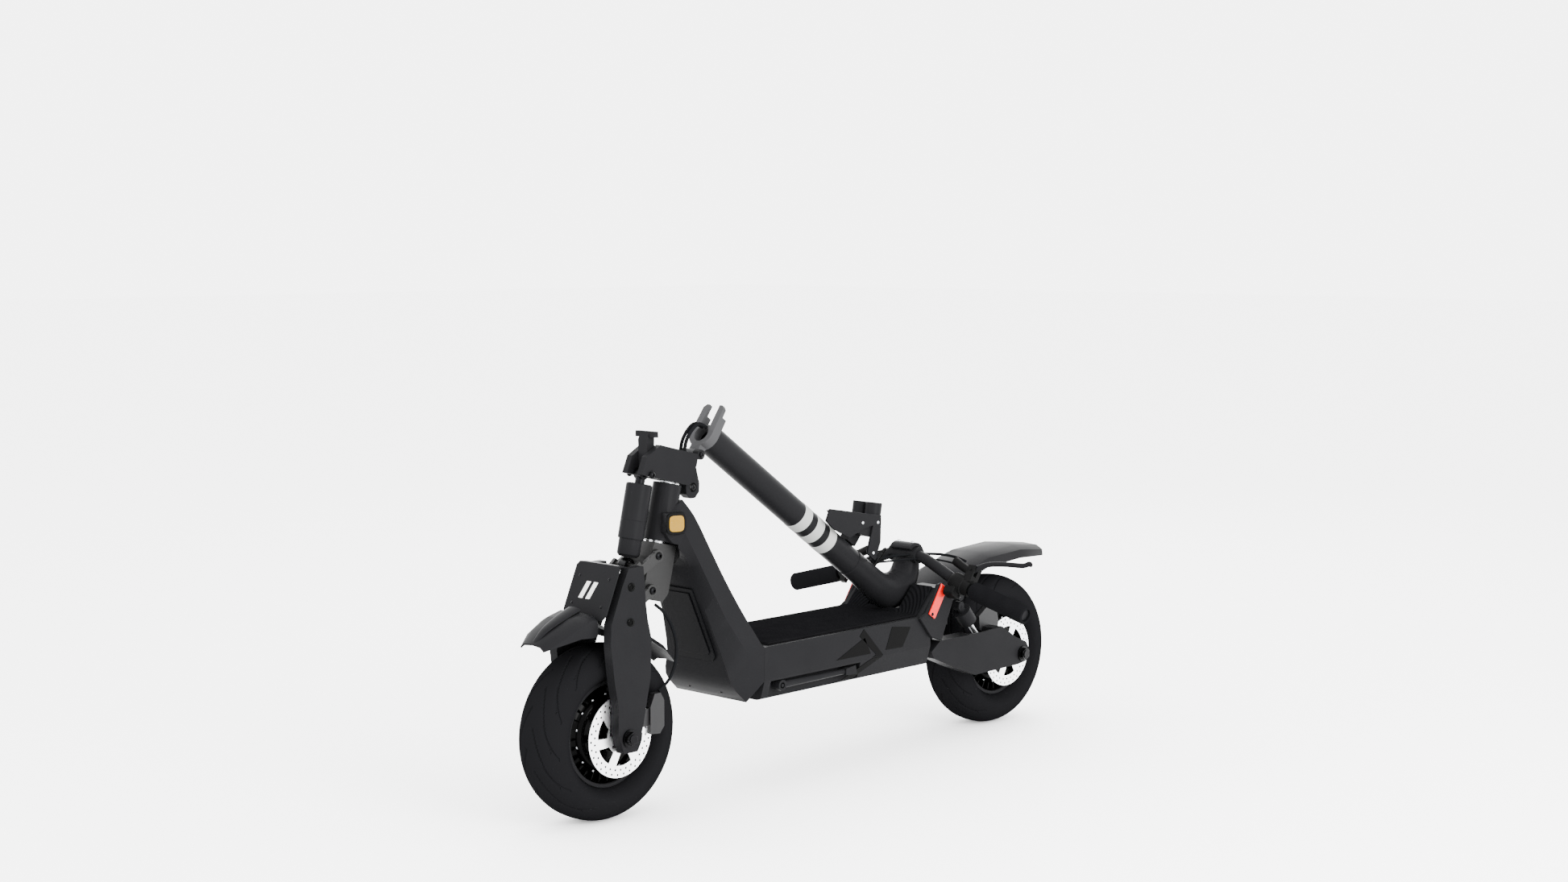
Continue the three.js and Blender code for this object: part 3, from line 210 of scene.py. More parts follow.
for node, edge in {"main_frame": 3.0, "belly_pan": 1.0, "tail_wing_left": 1.5, "tail_wing_right": 1.5,
                   "rear_fender": 1.2, "kickstand_leg": 1.5}.items():
    eased(node, satin_black, edge)


def row(x, y, z):
    """A point of the row frame given in millimetres."""
    return Vector((x, y, z)) * MM


def from_parts(name, points, faces, material):
    """An object of one mesh from points and faces, its faces turned outward."""
    mesh = bpy.data.meshes.new(name)
    mesh.from_pydata(points, [], faces)
    solid = bmesh.new()
    solid.from_mesh(mesh)
    bmesh.ops.remove_doubles(solid, verts=solid.verts, dist=1e-6)
    bmesh.ops.recalc_face_normals(solid, faces=solid.faces)
    solid.to_mesh(mesh)
    solid.free()
    return link_mesh(name, mesh, material)


def ease(obj, edge, angle=33):
    """Rounds a piece's sharp edges, edge in millimetres."""
    bevel = obj.modifiers.new("eased edges", "BEVEL")
    bevel.width = edge * MM
    bevel.segments = 3
    bevel.limit_method = "ANGLE"
    bevel.angle_limit = math.radians(angle)
    bevel.harden_normals = True
    return obj


def slab(name, origin, right, up, outline, thickness, material, edge=0.4):
    """A plate in a plane: an outline in millimetres along right and up, thick along their normal."""
    right = Vector(right).normalized()
    up = Vector(up).normalized()
    lift = right.cross(up) * (thickness * MM)
    low = [origin + right * (a * MM) + up * (b * MM) for a, b in outline]
    n = len(low)
    sides = [(i, (i + 1) % n, n + (i + 1) % n, n + i) for i in range(n)]
    faces = sides + [tuple(range(n)), tuple(range(n, 2 * n))]
    return ease(from_parts(name, low + [p + lift for p in low], faces, material), edge)


# The side graphics: gloss chevrons let into the satin side, above and below its crease.
gloss_black = powder_coat("gloss_black_enamel", "010101", "020202", 0.14, 0.02, 0.02)
for side, hand in ((1, "left"), (-1, "right")):
    facing = (-1, 0, 0) if side > 0 else (1, 0, 0)
    for k, outline in enumerate([[(-43, 262), (-97, 207), (-94, 205.6), (-67, 205.6), (-77, 210), (-31, 250)],
                                 [(32, 214), (-45, 246), (-62, 214)],
                                 [(-122, 256), (-175, 249), (-152, 214), (-104, 215)]]):
        settle(slab(f"side_inlay_{hand}_{k}", row(0, side * 97.6, 0), facing, (0, 0, 1),
                    [(side * -x, z) for x, z in outline], 1.2, gloss_black, 0.3), "frame")
    settle(slab(f"lower_inlay_{hand}", row(0, side * 87.6, 170), facing, (0, side * 10, 35),
                [(side * -x, s) for x, s in [(-94, 36), (-20, 3), (12, 3), (-66, 36)]], 1.2, gloss_black,
                0.3),
           "frame")

# ------------------------------------------------------------ neck panel and light bar
# A recessed composite cover screwed to the neck's front, with a moulded trapezoid groove and a
# narrow light bar across its foot.
NECK_LEAN = math.radians(18.6)
NECK_UP = Vector((math.sin(NECK_LEAN), 0, math.cos(NECK_LEAN)))
panel_black = powder_coat("matt_black_composite", "020203", "040405", 0.55, 0.15, 0.03)
cover_at = row(338, 0, 375)
settle(slab("neck_panel", cover_at, ACROSS, NECK_UP,
            [(-40, 0), (40, 0), (56, -128), (48, -138), (-48, -138), (-56, -128)], 3, panel_black, 0.8),
       "frame", ["neck_cover"])
settle(slab("neck_panel_inset", cover_at + NECK_UP * -0.008 + Vector((0.0032, 0, -0.0011)), ACROSS, NECK_UP,
            [(-31, 0), (31, 0), (46, -112), (40, -119), (-40, -119), (-46, -112)], 1.4, panel_black, 0.9),
       "frame")

bar_grey = powder_coat("grey_light_bar", "3c3d3e", "424344", 0.3, 0.02)
settle(slab("neck_light_bar", row(284.6, 0, 210), ACROSS, (0.28, 0, 0.96),
            [(-50, -3), (50, -3), (50, 3), (-50, 3)], 2.4, bar_grey, 0.8), "frame")

# Screws are button heads with a hex socket, grown on points that carry an aim.
SCREWS = bpy.data.node_groups.new("button head screws", "GeometryNodeTree")
for label, kind in (("Geometry", "Geometry"), ("Radius", "Float"), ("Height", "Float"),
                    ("Material", "Material")):
    SCREWS.interface.new_socket(label, in_out="INPUT", socket_type="NodeSocket" + kind)
SCREWS.interface.new_socket("Geometry", in_out="OUTPUT", socket_type="NodeSocketGeometry")
given = add_node(SCREWS, "NodeGroupInput").outputs
dome = add_node(SCREWS, "GeometryNodeMeshUVSphere", {"Segments": 24, "Rings": 12, "Radius": 1.0})
shape = add_node(SCREWS, "ShaderNodeCombineXYZ",
                 {"X": given["Radius"], "Y": given["Radius"], "Z": given["Height"]})
head = add_node(SCREWS, "GeometryNodeTransform",
                {"Geometry": dome.outputs["Mesh"], "Scale": shape.outputs["Vector"]})
key = add_node(SCREWS, "GeometryNodeMeshCylinder", {"Vertices": 6, "Radius": 0.45, "Depth": 1.0})
raised = add_node(SCREWS, "GeometryNodeTransform",
                  {"Geometry": key.outputs["Mesh"], "Translation": (0, 0, 0.9)})
key_size = add_node(SCREWS, "GeometryNodeTransform", {"Geometry": raised.outputs["Geometry"],
                                                      "Scale": shape.outputs["Vector"]})
socket = add_node(SCREWS, "GeometryNodeMeshBoolean", {"Mesh 1": head.outputs["Geometry"],
                                                      "Mesh 2": key_size.outputs["Geometry"]},
                  operation="DIFFERENCE")
aim = add_node(SCREWS, "GeometryNodeInputNamedAttribute", {"Name": "aim"}, data_type="FLOAT_VECTOR")
turn = add_node(SCREWS, "FunctionNodeAlignRotationToVector", {"Vector": aim.outputs["Attribute"]}, axis="Z")
placed = add_node(SCREWS, "GeometryNodeInstanceOnPoints", {"Points": given["Geometry"],
                                                           "Instance": socket.outputs["Mesh"],
                                                           "Rotation": turn.outputs["Rotation"]})
real = add_node(SCREWS, "GeometryNodeRealizeInstances", {"Geometry": placed.outputs["Instances"]})
coloured = add_node(SCREWS, "GeometryNodeSetMaterial", {"Geometry": real.outputs["Geometry"],
                                                        "Material": given["Material"]})
add_node(SCREWS, "NodeGroupOutput", {"Geometry": coloured.outputs["Geometry"]})


def grow(obj, tree, values):
    """Runs a node tree over an object with the named inputs and keeps the result as its mesh."""
    modifier = obj.modifiers.new(tree.name, "NODES")
    modifier.node_group = tree
    for item in tree.interface.items_tree:
        if item.in_out == "INPUT" and item.name in values:
            modifier[item.identifier] = values[item.name]
    bpy.context.view_layer.update()
    graph = bpy.context.evaluated_depsgraph_get()
    mesh = bpy.data.meshes.new_from_object(obj.evaluated_get(graph), depsgraph=graph)
    obj.modifiers.clear()
    obj.data = mesh
    return obj


def screws(name, body, spots, radius, height, material):
    """Button head screws on one body: each spot is its point and the way it faces."""
    mesh = bpy.data.meshes.new(name)
    mesh.from_pydata([point for point, facing in spots], [], [])
    aims = mesh.attributes.new("aim", "FLOAT_VECTOR", "POINT")
    aims.data.foreach_set("vector", [c for point, facing in spots for c in Vector(facing).normalized()])
    obj = bpy.data.objects.new(name, mesh)
    bpy.context.scene.collection.objects.link(obj)
    grow(obj, SCREWS, {"Radius": radius * MM, "Height": height * MM, "Material": material})
    return settle(obj, body)


screws("neck_foot_screws", "frame", [(row(268, y, 184), (0.7, 0, -0.7)) for y in (-40, 40)], 3.4, 2.2,
       gloss_black)

# ------------------------------------------------------------ battery pack
# Rows of cells wrapped together in blue film, which is shrunk tight with heat. The pack is strapped
# into the tray inside the deck.
def shrink_film(name, colour):
    """Thin glossy film drawn tight over the cells, with long soft wrinkles."""
    material, tree, shader, place = new_material(name)
    stretch = add_node(tree, "ShaderNodeMapping", {"Vector": place, "Scale": (60.0, 400.0, 60.0)})
    wrinkle = add_node(tree, "ShaderNodeTexNoise",
                       {"Vector": stretch.outputs["Vector"], "Scale": 1.0, "Detail": 3.0})
    bump = add_node(tree, "ShaderNodeBump",
                    {"Height": wrinkle.outputs["Fac"], "Strength": 0.4, "Distance": 0.0006})
    shader.inputs["Base Color"].default_value = linear(colour)
    shader.inputs["Roughness"].default_value = 0.28
    tree.links.new(bump.outputs["Normal"], shader.inputs["Normal"])
    return material


eased("battery_pack", shrink_film("blue_shrink_film", "2d5f8a"), 6.0)

# ------------------------------------------------------------ forks, arms and stem castings
# Cast, machined and drawn aluminium under the same satin powder: the fork's legs and crown, the
# swingarm, head bracket, latch, bar clamp, handlebar, stem tube, front fender and rear shock bodies.
for node, edge in {"fork_leg_left": 5.0, "fork_leg_right": 5.0, "fork_crown": 2.0,
                   "rear_swingarm": 2.5, "head_bracket": 1.6, "latch_hook": 1.2, "latch_lever": 2.0,
                   "bar_clamp": 1.5, "front_fender": 1.0, "handlebar": 0.8,
                   "rear_shock_body_left": 2.0, "rear_shock_body_right": 2.0,
                   "stem_tube": 0.8}.items():
    eased(node, satin_black, edge)

# ------------------------------------------------------------ link plates and lower bracket
# The two link plates and the bracket that carries them are milled from aluminium and anodised dark
# grey, with the faint lines of the cutter left in. Pins hold them.
def anodised(name, colour, roughness):
    """Anodised aluminium: a dyed oxide skin over fine machining lines."""
    material, tree, shader, place = new_material(name)
    lines = add_node(tree, "ShaderNodeMapping", {"Vector": place, "Scale": (300.0, 300.0, 2600.0)})
    cutter = add_node(tree, "ShaderNodeTexNoise",
                      {"Vector": lines.outputs["Vector"], "Scale": 1.0, "Detail": 2.0})
    bump = add_node(tree, "ShaderNodeBump",
                    {"Height": cutter.outputs["Fac"], "Strength": 0.1, "Distance": 0.0001})
    gloss = add_node(tree, "ShaderNodeMapRange", {"Value": cutter.outputs["Fac"], "To Min": roughness - 0.06,
                                                  "To Max": roughness + 0.06})
    shader.inputs["Base Color"].default_value = linear(colour)
    shader.inputs["Metallic"].default_value = 0.3
    shader.inputs["Specular IOR Level"].default_value = 0.2
    tree.links.new(gloss.outputs["Result"], shader.inputs["Roughness"])
    tree.links.new(bump.outputs["Normal"], shader.inputs["Normal"])
    return material


link_grey = anodised("grey_anodised_aluminium", "121212", 0.5)
for node in ("lower_bracket", "front_link_upper", "front_link_lower"):
    eased(node, link_grey, 1.4)

# ------------------------------------------------------------ bare steel hardware
# Axles with their nuts are turned steel, blackened; the pin, shock rods and steerer are plated. The
# cast aluminium calipers are bolted beside the rotors.
def plated_steel(name, colour, roughness):
    """Bright plated steel with faint handling marks."""
    material, tree, shader, place = new_material(name)
    marks = add_node(tree, "ShaderNodeTexNoise",
                     {"Vector": place, "Scale": 180.0, "Detail": 5.0, "Roughness": 0.7})
    gloss = add_node(tree, "ShaderNodeMapRange", {"Value": marks.outputs["Fac"], "To Min": roughness - 0.07,
                                                  "To Max": roughness + 0.1})
    shader.inputs["Base Color"].default_value = linear(colour)
    shader.inputs["Metallic"].default_value = 1.0
    tree.links.new(gloss.outputs["Result"], shader.inputs["Roughness"])
    return material


steel = plated_steel("plated_steel", "a9abad", 0.3)
dark_steel = plated_steel("black_oxide_steel", "0e0e0f", 0.3)
for node in ("front_axle", "rear_axle"):
    eased(node, dark_steel, 0.8)
for node in ("steerer_tube", "fold_hinge_pin",
             "rear_shock_rod_left", "rear_shock_rod_right"):
    eased(node, steel, 0.6)
caliper_grey = anodised("grey_cast_caliper", "121213", 0.5)
for node in ("front_caliper", "rear_caliper"):
    eased(node, caliper_grey, 1.5)

# ------------------------------------------------------------ moulded controls
# The lever perches and the throttle are moulded in glass-filled nylon, with a fine grain from a
# spark-eroded tool, and are clamped round the bar.
def moulded_plastic(name, colour, roughness):
    """Moulded nylon with a fine matt grain from the tool."""
    material, tree, shader, place = new_material(name)
    grain = add_node(tree, "ShaderNodeTexNoise", {"Vector": place, "Scale": 1600.0, "Detail": 1.0})
    bump = add_node(tree, "ShaderNodeBump",
                    {"Height": grain.outputs["Fac"], "Strength": 0.25, "Distance": 0.0002})
    shader.inputs["Base Color"].default_value = linear(colour)
    shader.inputs["Roughness"].default_value = roughness
    shader.inputs["Specular IOR Level"].default_value = 0.02
    tree.links.new(bump.outputs["Normal"], shader.inputs["Normal"])
    return material


nylon = moulded_plastic("moulded_black_nylon", "070707", 0.5)
for node in ("lever_perch_left", "lever_perch_right", "throttle_lever"):
    eased(node, nylon, 1.4)

# ------------------------------------------------------------ reflectors and lamps
# Moulded acrylic: amber reflectors with cube-corner prisms behind, in nylon bezels, and ribbed red
# lamp lenses.
def acrylic(name, colour, cell, glow):
    """Clear tinted acrylic over small moulded prisms, a little lit from inside."""
    material, tree, shader, place = new_material(name)
    prisms = add_node(tree, "ShaderNodeTexVoronoi",
                      {"Vector": place, "Scale": 1000.0 / cell, "Randomness": 0.0})
    bump = add_node(tree, "ShaderNodeBump", {"Height": prisms.outputs["Distance"], "Strength": 0.5,
                                             "Distance": 0.0006})
    shader.inputs["Base Color"].default_value = linear(colour)
    shader.inputs["Roughness"].default_value = 0.18
    shader.inputs["Coat Weight"].default_value = 0.1
    shader.inputs["Specular IOR Level"].default_value = 0.1
    shader.inputs["Emission Color"].default_value = linear(colour)
    shader.inputs["Emission Strength"].default_value = glow
    tree.links.new(bump.outputs["Normal"], shader.inputs["Normal"])
    return material


amber = acrylic("amber_acrylic", "6c5002", 2.4, 0.0)
red_lens = acrylic("red_acrylic", "a00608", 3.0, 0.3)


def squircle(half, steps=40, power=4.0):
    """A rounded square as a superellipse of the given half width."""
    points = []
    for i in range(steps):
        c, s = math.cos(2 * math.pi * i / steps), math.sin(2 * math.pi * i / steps)
        points.append((half * math.copysign(abs(c) ** (2 / power), c),
                       half * math.copysign(abs(s) ** (2 / power), s)))
    return points


for side, hand in ((1, "left"), (-1, "right")):
    turn_out = math.radians(18)
    along = Vector((-math.cos(turn_out) * side, math.sin(turn_out), 0))
    out = along.cross(Vector((0, 0, 1)))
    seat = row(379, side * 43, 493) - out * (1.0 * MM)
    settle(slab(f"reflector_bezel_{hand}", seat, along, (0, 0, 1), squircle(18.5), 3.4, nylon, 1.0), "frame",
           [f"neck_reflector_{hand}"])
    settle(slab(f"reflector_lens_{hand}", seat + out * (2.6 * MM), along, (0, 0, 1), squircle(14), 2.0, amber,
                0.9),
           "frame")
for node in ("tail_lamp_left", "tail_lamp_right"):
    eased(node, red_lens, 1.5)

for side in (1, -1):
    screws(f"tail_lamp_screws_{'left' if side > 0 else 'right'}", "frame",
           [(row(-226, side * 109.4, 268), ACROSS * side)], 3.6, 1.6, dark_steel)

# ------------------------------------------------------------ tyres
# Wide scooter tyres in black rubber, vulcanised in a mould that gives them smooth sidewalls, a round
# crown and long curved sipes on each shoulder. They seat on the rims.
def rubber(name, colour, roughness, grain_scale, depth):
    """Vulcanised rubber: matt, slightly cloudy, with a fine moulded grain."""
    material, tree, shader, place = new_material(name)
    cloud = add_node(tree, "ShaderNodeTexNoise", {"Vector": place, "Scale": 30.0, "Detail": 5.0})
    tone = add_node(tree, "ShaderNodeMix",
                    {"Factor": cloud.outputs["Fac"], "A": linear(colour), "B": linear("0d0d0e")},
                    data_type="RGBA")
    grain = add_node(tree, "ShaderNodeTexNoise", {"Vector": place, "Scale": grain_scale, "Detail": 2.0})
    bump = add_node(tree, "ShaderNodeBump",
                    {"Height": grain.outputs["Fac"], "Strength": 0.3, "Distance": depth})
    shader.inputs["Roughness"].default_value = roughness
    shader.inputs["Specular IOR Level"].default_value = 0.0
    tree.links.new(tone.outputs["Result"], shader.inputs["Base Color"])
    tree.links.new(bump.outputs["Normal"], shader.inputs["Normal"])
    return material


tyre_rubber = rubber("tyre_rubber", "0c0c0d", 0.7, 900.0, 0.0002)
TYRE_BEAD = 92.0 * MM
BEAD_HALF_WIDTH = 28.0 * MM
SIPES = 13
SIPE_DEPTH = 2.4 * MM


def ring_mesh(name, rows, material, closed_profile=True):
    """A closed mesh from rows of points, each row one turn of the profile about an axis."""
    count = len(rows[0])
    faces = []
    for i in range(len(rows)):
        for k in range(count if closed_profile else count - 1):
            n = (i + 1) % len(rows)
            m = (k + 1) % count
            faces.append((i * count + k, i * count + m, n * count + m, n * count + k))
    mesh = bpy.data.meshes.new(name)
    mesh.from_pydata([p for row in rows for p in row], [], faces)
    solid = bmesh.new()
    solid.from_mesh(mesh)
    bmesh.ops.remove_doubles(solid, verts=solid.verts, dist=1e-6)
    bmesh.ops.recalc_face_normals(solid, faces=solid.faces)
    solid.to_mesh(mesh)
    solid.free()
    return link_mesh(name, mesh, material)


def cut_depth(phase):
    """The depth of a sipe at a phase that passes a half at its middle."""
    off = abs(phase % 1.0 - 0.5)
    return SIPE_DEPTH * max(0.0, min(1.0, (0.06 - off) / 0.025))


def sipe_depth(turn, side, share):
    """How deep the tread is cut at a turn around the tyre and a share of its half width."""
    lead = turn * SIPES + (0.0 if side > 0 else 0.5)
    long_cut = cut_depth(lead + 2.3 * share ** 1.4) if 0.08 < share < 0.8 else 0.0
    short_cut = cut_depth(lead + 0.5 + 1.5 * share ** 1.6) if 0.5 < share < 0.93 else 0.0
    return max(long_cut, short_cut)


def make_tyre(prefix, steps=540, crown_points=34):
    low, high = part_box(prefix + "_tyre")
    centre = (low + high) / 2
    crown = (high.z - low.z) / 2
    half = (high.y - low.y) / 2
    wall = TYRE_BEAD + 0.36 * (crown - TYRE_BEAD)
    side = []
    for i in range(9):
        v = i / 8
        side.append((TYRE_BEAD + (wall - TYRE_BEAD) * v,
                     BEAD_HALF_WIDTH + (half - BEAD_HALF_WIDTH) * math.sin(v * math.pi / 2) ** 0.7))
    for i in range(1, crown_points + 1):
        s = i / crown_points * math.pi / 2
        side.append((wall + (crown - wall) * math.sin(s),
                     half * math.cos(s) ** 0.85 if i < crown_points else 0.0))
    profile = side + [(r, -y) for r, y in reversed(side[:-1])]
    rows = []
    for i in range(steps):
        turn = i / steps
        c, s = math.cos(turn * 2 * math.pi), math.sin(turn * 2 * math.pi)
        cuts = [sipe_depth(turn, y, abs(y) / half) if r > wall + 9 * MM else 0.0 for r, y in profile]
        rows.append([centre + Vector(((r - cut) * c, y, (r - cut) * s)) for (r, y),
                     cut in zip(profile, cuts)])
    stand_for(ring_mesh(prefix + "_tyre_tread", rows, tyre_rubber), prefix + "_tyre")


for prefix in ("front", "rear"):
    make_tyre(prefix)

# ------------------------------------------------------------ hub motors
# Pressed and turned motor shells set deep in the rims, in gloss black, with a dull grey rim lip,
# stiffening ribs and a ring of cover bolts on each side.
rim_grey = powder_coat("dark_grey_rim_paint", "101011", "141415", 0.38, 0.08)


def turned(name, profile, origin, axis, material, steps=96):
    """A closed (radius, along) profile in millimetres turned about an axis through origin."""
    axis = Vector(axis).normalized()
    first = axis.orthogonal().normalized()
    second = axis.cross(first)
    rows = []
    for i in range(steps):
        a = 2 * math.pi * i / steps
        out = first * math.cos(a) + second * math.sin(a)
        rows.append([Vector(origin) + out * (r * MM) + axis * (along * MM) for r, along in profile])
    return ring_mesh(name, rows, material)


def make_hub(prefix):
    low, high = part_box(prefix + "_hub_motor")
    centre = (low + high) / 2
    boss = (high.y - low.y) / 2 / MM
    rim = (high.x - low.x) / 2 / MM
    half = [(9, boss), (23, boss), (25, boss - 1.5), (27, 37), (30, 34.5), (52, 29.5), (59, 28.5), (63, 26),
            (66, 21), (70, 17.5), (76, 16), (79, 17), (81, 21), (83, 27)]
    shell = half + [(83, 27), (84.5, 26), (84.5, -26), (83, -27)] + [(r, -y) for r, y in reversed(half)]
    stand_for(turned(prefix + "_motor_shell", shell, centre, ACROSS, gloss_black, 128), prefix + "_hub_motor")
    lip = [(84.6, 24), (84.6, 28.6), (85.6, 29.8), (88, 30), (rim - 0.8, 29.6), (rim, 28.4), (rim, -28.4),
           (rim - 0.8, -29.6), (88, -30), (85.6, -29.8), (84.6, -28.6), (84.6, -24)]
    settle(turned(prefix + "_rim_band", lip, centre, ACROSS, rim_grey, 128), prefix + "_hub_motor")


# Ribs stand in the rim's well: boxes on a circle, each facing outward.
RIBS = bpy.data.node_groups.new("ribs on a circle", "GeometryNodeTree")
for label, kind in (("Geometry", "Geometry"), ("Count", "Int"), ("Radius", "Float"), ("Size", "Vector"),
                    ("Centre", "Vector"), ("Material", "Material")):
    RIBS.interface.new_socket(label, in_out="INPUT", socket_type="NodeSocket" + kind)
RIBS.interface.new_socket("Geometry", in_out="OUTPUT", socket_type="NodeSocketGeometry")
given = add_node(RIBS, "NodeGroupInput").outputs
circle = add_node(RIBS, "GeometryNodeMeshCircle", {"Vertices": given["Count"], "Radius": given["Radius"]})
outward = add_node(RIBS, "GeometryNodeInputPosition").outputs["Position"]
facing = add_node(RIBS, "FunctionNodeAlignRotationToVector", {"Vector": outward}, axis="X")
rib = add_node(RIBS, "GeometryNodeMeshCube", {"Size": given["Size"]})
stood = add_node(RIBS, "GeometryNodeInstanceOnPoints", {"Points": circle.outputs["Mesh"],
                                                        "Instance": rib.outputs["Mesh"],
                                                        "Rotation": facing.outputs["Rotation"]})
real = add_node(RIBS, "GeometryNodeRealizeInstances", {"Geometry": stood.outputs["Instances"]})
moved = add_node(RIBS, "GeometryNodeTransform", {"Geometry": real.outputs["Geometry"],
                                                 "Translation": given["Centre"],
                                                 "Rotation": (math.pi / 2, 0, 0)})
coloured = add_node(RIBS, "GeometryNodeSetMaterial", {"Geometry": moved.outputs["Geometry"],
                                                      "Material": given["Material"]})
add_node(RIBS, "NodeGroupOutput", {"Geometry": coloured.outputs["Geometry"]})


def ribs(name, body, count, radius, size, centre, material):
    """A ring of ribs about an axis across the scooter; size is radial, along the ring, across."""
    obj = bpy.data.objects.new(name, bpy.data.meshes.new(name))
    bpy.context.scene.collection.objects.link(obj)
    grow(obj, RIBS, {"Count": count, "Radius": radius * MM, "Size": [c * MM for c in size],
                     "Centre": list(centre), "Material": material})
    return settle(obj, body)


def on_ring(centre, radius, count, y, phase=0.0):
    """Points on a circle about an axis across the scooter, in metres, all facing the left."""
    spots = []
    for i in range(count):
        a = 2 * math.pi * (i + phase) / count
        spots.append((centre + Vector((radius * math.cos(a), y, radius * math.sin(a))) * MM, ACROSS))
    return spots


for prefix in ("front", "rear"):
    make_hub(prefix)
    low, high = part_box(prefix + "_tyre")
    centre = (low + high) / 2
    wheel = body_of[prefix + "_tyre"]
    for hand, y in (("left", 20), ("right", -20)):
        ribs(f"{prefix}_rim_ribs_{hand}", wheel, 28, 75, (13, 1.8, 7), centre + row(0, y, 0), gloss_black)
    screws(prefix + "_cover_bolts", wheel, on_ring(centre, 46, 8, 30.6), 3.6, 3.0, dark_steel)
    screws(prefix + "_rim_bolts", wheel, on_ring(centre, 66.5, 14, 20.8, 0.5), 2.6, 2.4, steel)
    screws(prefix + "_rotor_bolts", wheel, on_ring(centre, 22, 6, 57.7, 0.25), 2.8, 2.0, dark_steel)

# ------------------------------------------------------------ brake rotors
# Stainless steel discs 140 mm across, cut out, drilled with two rows of holes and ground flat. Six
# swept arms bolt each one to its hub.
def ground_steel(name, colour):
    """Stainless steel ground flat, bright with fine crossing scratches."""
    material, tree, shader, place = new_material(name)
    scratch = add_node(tree, "ShaderNodeTexNoise", {"Vector": place, "Scale": 900.0, "Detail": 3.0})
    gloss = add_node(tree, "ShaderNodeMapRange",
                     {"Value": scratch.outputs["Fac"], "To Min": 0.2, "To Max": 0.42})
    bump = add_node(tree, "ShaderNodeBump",
                    {"Height": scratch.outputs["Fac"], "Strength": 0.12, "Distance": 0.0001})
    shader.inputs["Base Color"].default_value = linear(colour)
    shader.inputs["Metallic"].default_value = 1.0
    tree.links.new(gloss.outputs["Result"], shader.inputs["Roughness"])
    tree.links.new(bump.outputs["Normal"], shader.inputs["Normal"])
    return material


rotor_steel = ground_steel("ground_stainless_steel", "f2f3f4")


def flat_loops(name, loops, thickness):
    """A flat plate in its own XY plane from closed loops of points; inner loops are holes."""
    curve = bpy.data.curves.new(name, "CURVE")
    curve.dimensions = "2D"
    curve.fill_mode = "BOTH"
    curve.extrude = thickness / 2
    for loop in loops:
        spline = curve.splines.new("POLY")
        spline.points.add(len(loop) - 1)
        for point, (x, y) in zip(spline.points, loop):
            point.co = (x, y, 0, 1)
        spline.use_cyclic_u = True
    maker = bpy.data.objects.new(name, curve)
    bpy.context.scene.collection.objects.link(maker)
    bpy.context.view_layer.update()
    mesh = bpy.data.meshes.new_from_object(maker.evaluated_get(bpy.context.evaluated_depsgraph_get()))
    bpy.data.objects.remove(maker)
    solid = bmesh.new()
    solid.from_mesh(mesh)
    bmesh.ops.remove_doubles(solid, verts=solid.verts, dist=1e-6)
    bmesh.ops.recalc_face_normals(solid, faces=solid.faces)
    solid.to_mesh(mesh)
    solid.free()
    return mesh


def arc(radius, start, end, steps, centre=(0, 0)):
    """Points along an arc, angles in degrees."""
    return [(centre[0] + radius * math.cos(math.radians(start + (end - start) * i / steps)),
             centre[1] + radius * math.sin(math.radians(start + (end - start) * i / steps)))
            for i in range(steps + 1)]


def make_rotor(prefix):
    low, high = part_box(prefix + "_rotor")
    centre = (low + high) / 2
    radius = (high.x - low.x) / 2
    loops = [arc(radius, 0, 360, 119)[:-1], arc(9 * MM, 0, 360, 40)[:-1]]
    for i in range(6):
        loops.append([Matrix.Rotation(math.radians(60 * i), 2) @ Vector(p)
                      for p in arc(50 * MM, 2, 42, 10) + arc(29 * MM, 30, 2, 6)])
    for row, (r, size, shift) in enumerate([(65 * MM, 2.0 * MM, 0.0), (57 * MM, 2.0 * MM, 0.5)]):
        for i in range(30):
            a = math.radians((i + shift) * 12)
            loops.append(arc(size, 0, 360, 10, (r * math.cos(a), r * math.sin(a)))[:-1])
    mesh = flat_loops(prefix + "_rotor_disc", loops, high.y - low.y)
    mesh.transform(Matrix.Translation(centre) @ Matrix.Rotation(math.radians(90), 4, "X"))
    stand_for(link_mesh(prefix + "_rotor_disc", mesh, rotor_steel), prefix + "_rotor")


for prefix in ("front", "rear"):
    make_rotor(prefix)

# ------------------------------------------------------------ stem bands and gooseneck
# The folding stem is a drawn tube with three reflective grey bands wrapped on it, welded at its
# upper end to a cast gooseneck that sweeps forward to the bar clamp.
HINGE = Vector((301.3, 0, 604.4))
STEM_FRONT = Vector((-math.cos(math.radians(55)), 0, math.sin(math.radians(55))))
STEM_UP = Vector((-math.sin(math.radians(55)), 0, -math.cos(math.radians(55))))


def on_stem(front, y, up):
    """A point given in millimetres ahead of the stem, across it and up along it from the hinge."""
    return (HINGE + STEM_FRONT * (front + 44) + STEM_UP * up + ACROSS * y) * MM


def skin(name, rings, material):
    """A closed skin through rings of points, with flat ends."""
    count = len(rings[0])
    points = [p for ring in rings for p in ring]
    faces = []
    for k in range(len(rings) - 1):
        for i in range(count):
            a, b = k * count + i, k * count + (i + 1) % count
            faces.append((a, b, b + count, a + count))
    faces.append(tuple(range(count)))
    faces.append(tuple(range(len(points) - count, len(points))))
    return from_parts(name, points, faces, material)


def through(values, t):
    """A smooth value between evenly spaced ones, t from 0 to 1, for numbers or vectors."""
    last = len(values) - 1
    k = min(int(t * last), last - 1)
    f = t * last - k
    before, after = values[max(k - 1, 0)], values[min(k + 2, last)]
    here, there = values[k], values[k + 1]
    return (here * 2 + (there - before) * f + (before * 2 - here * 5 + there * 4 - after) * f ** 2
            + (here * 3 - before - there * 3 + after) * f ** 3) * 0.5


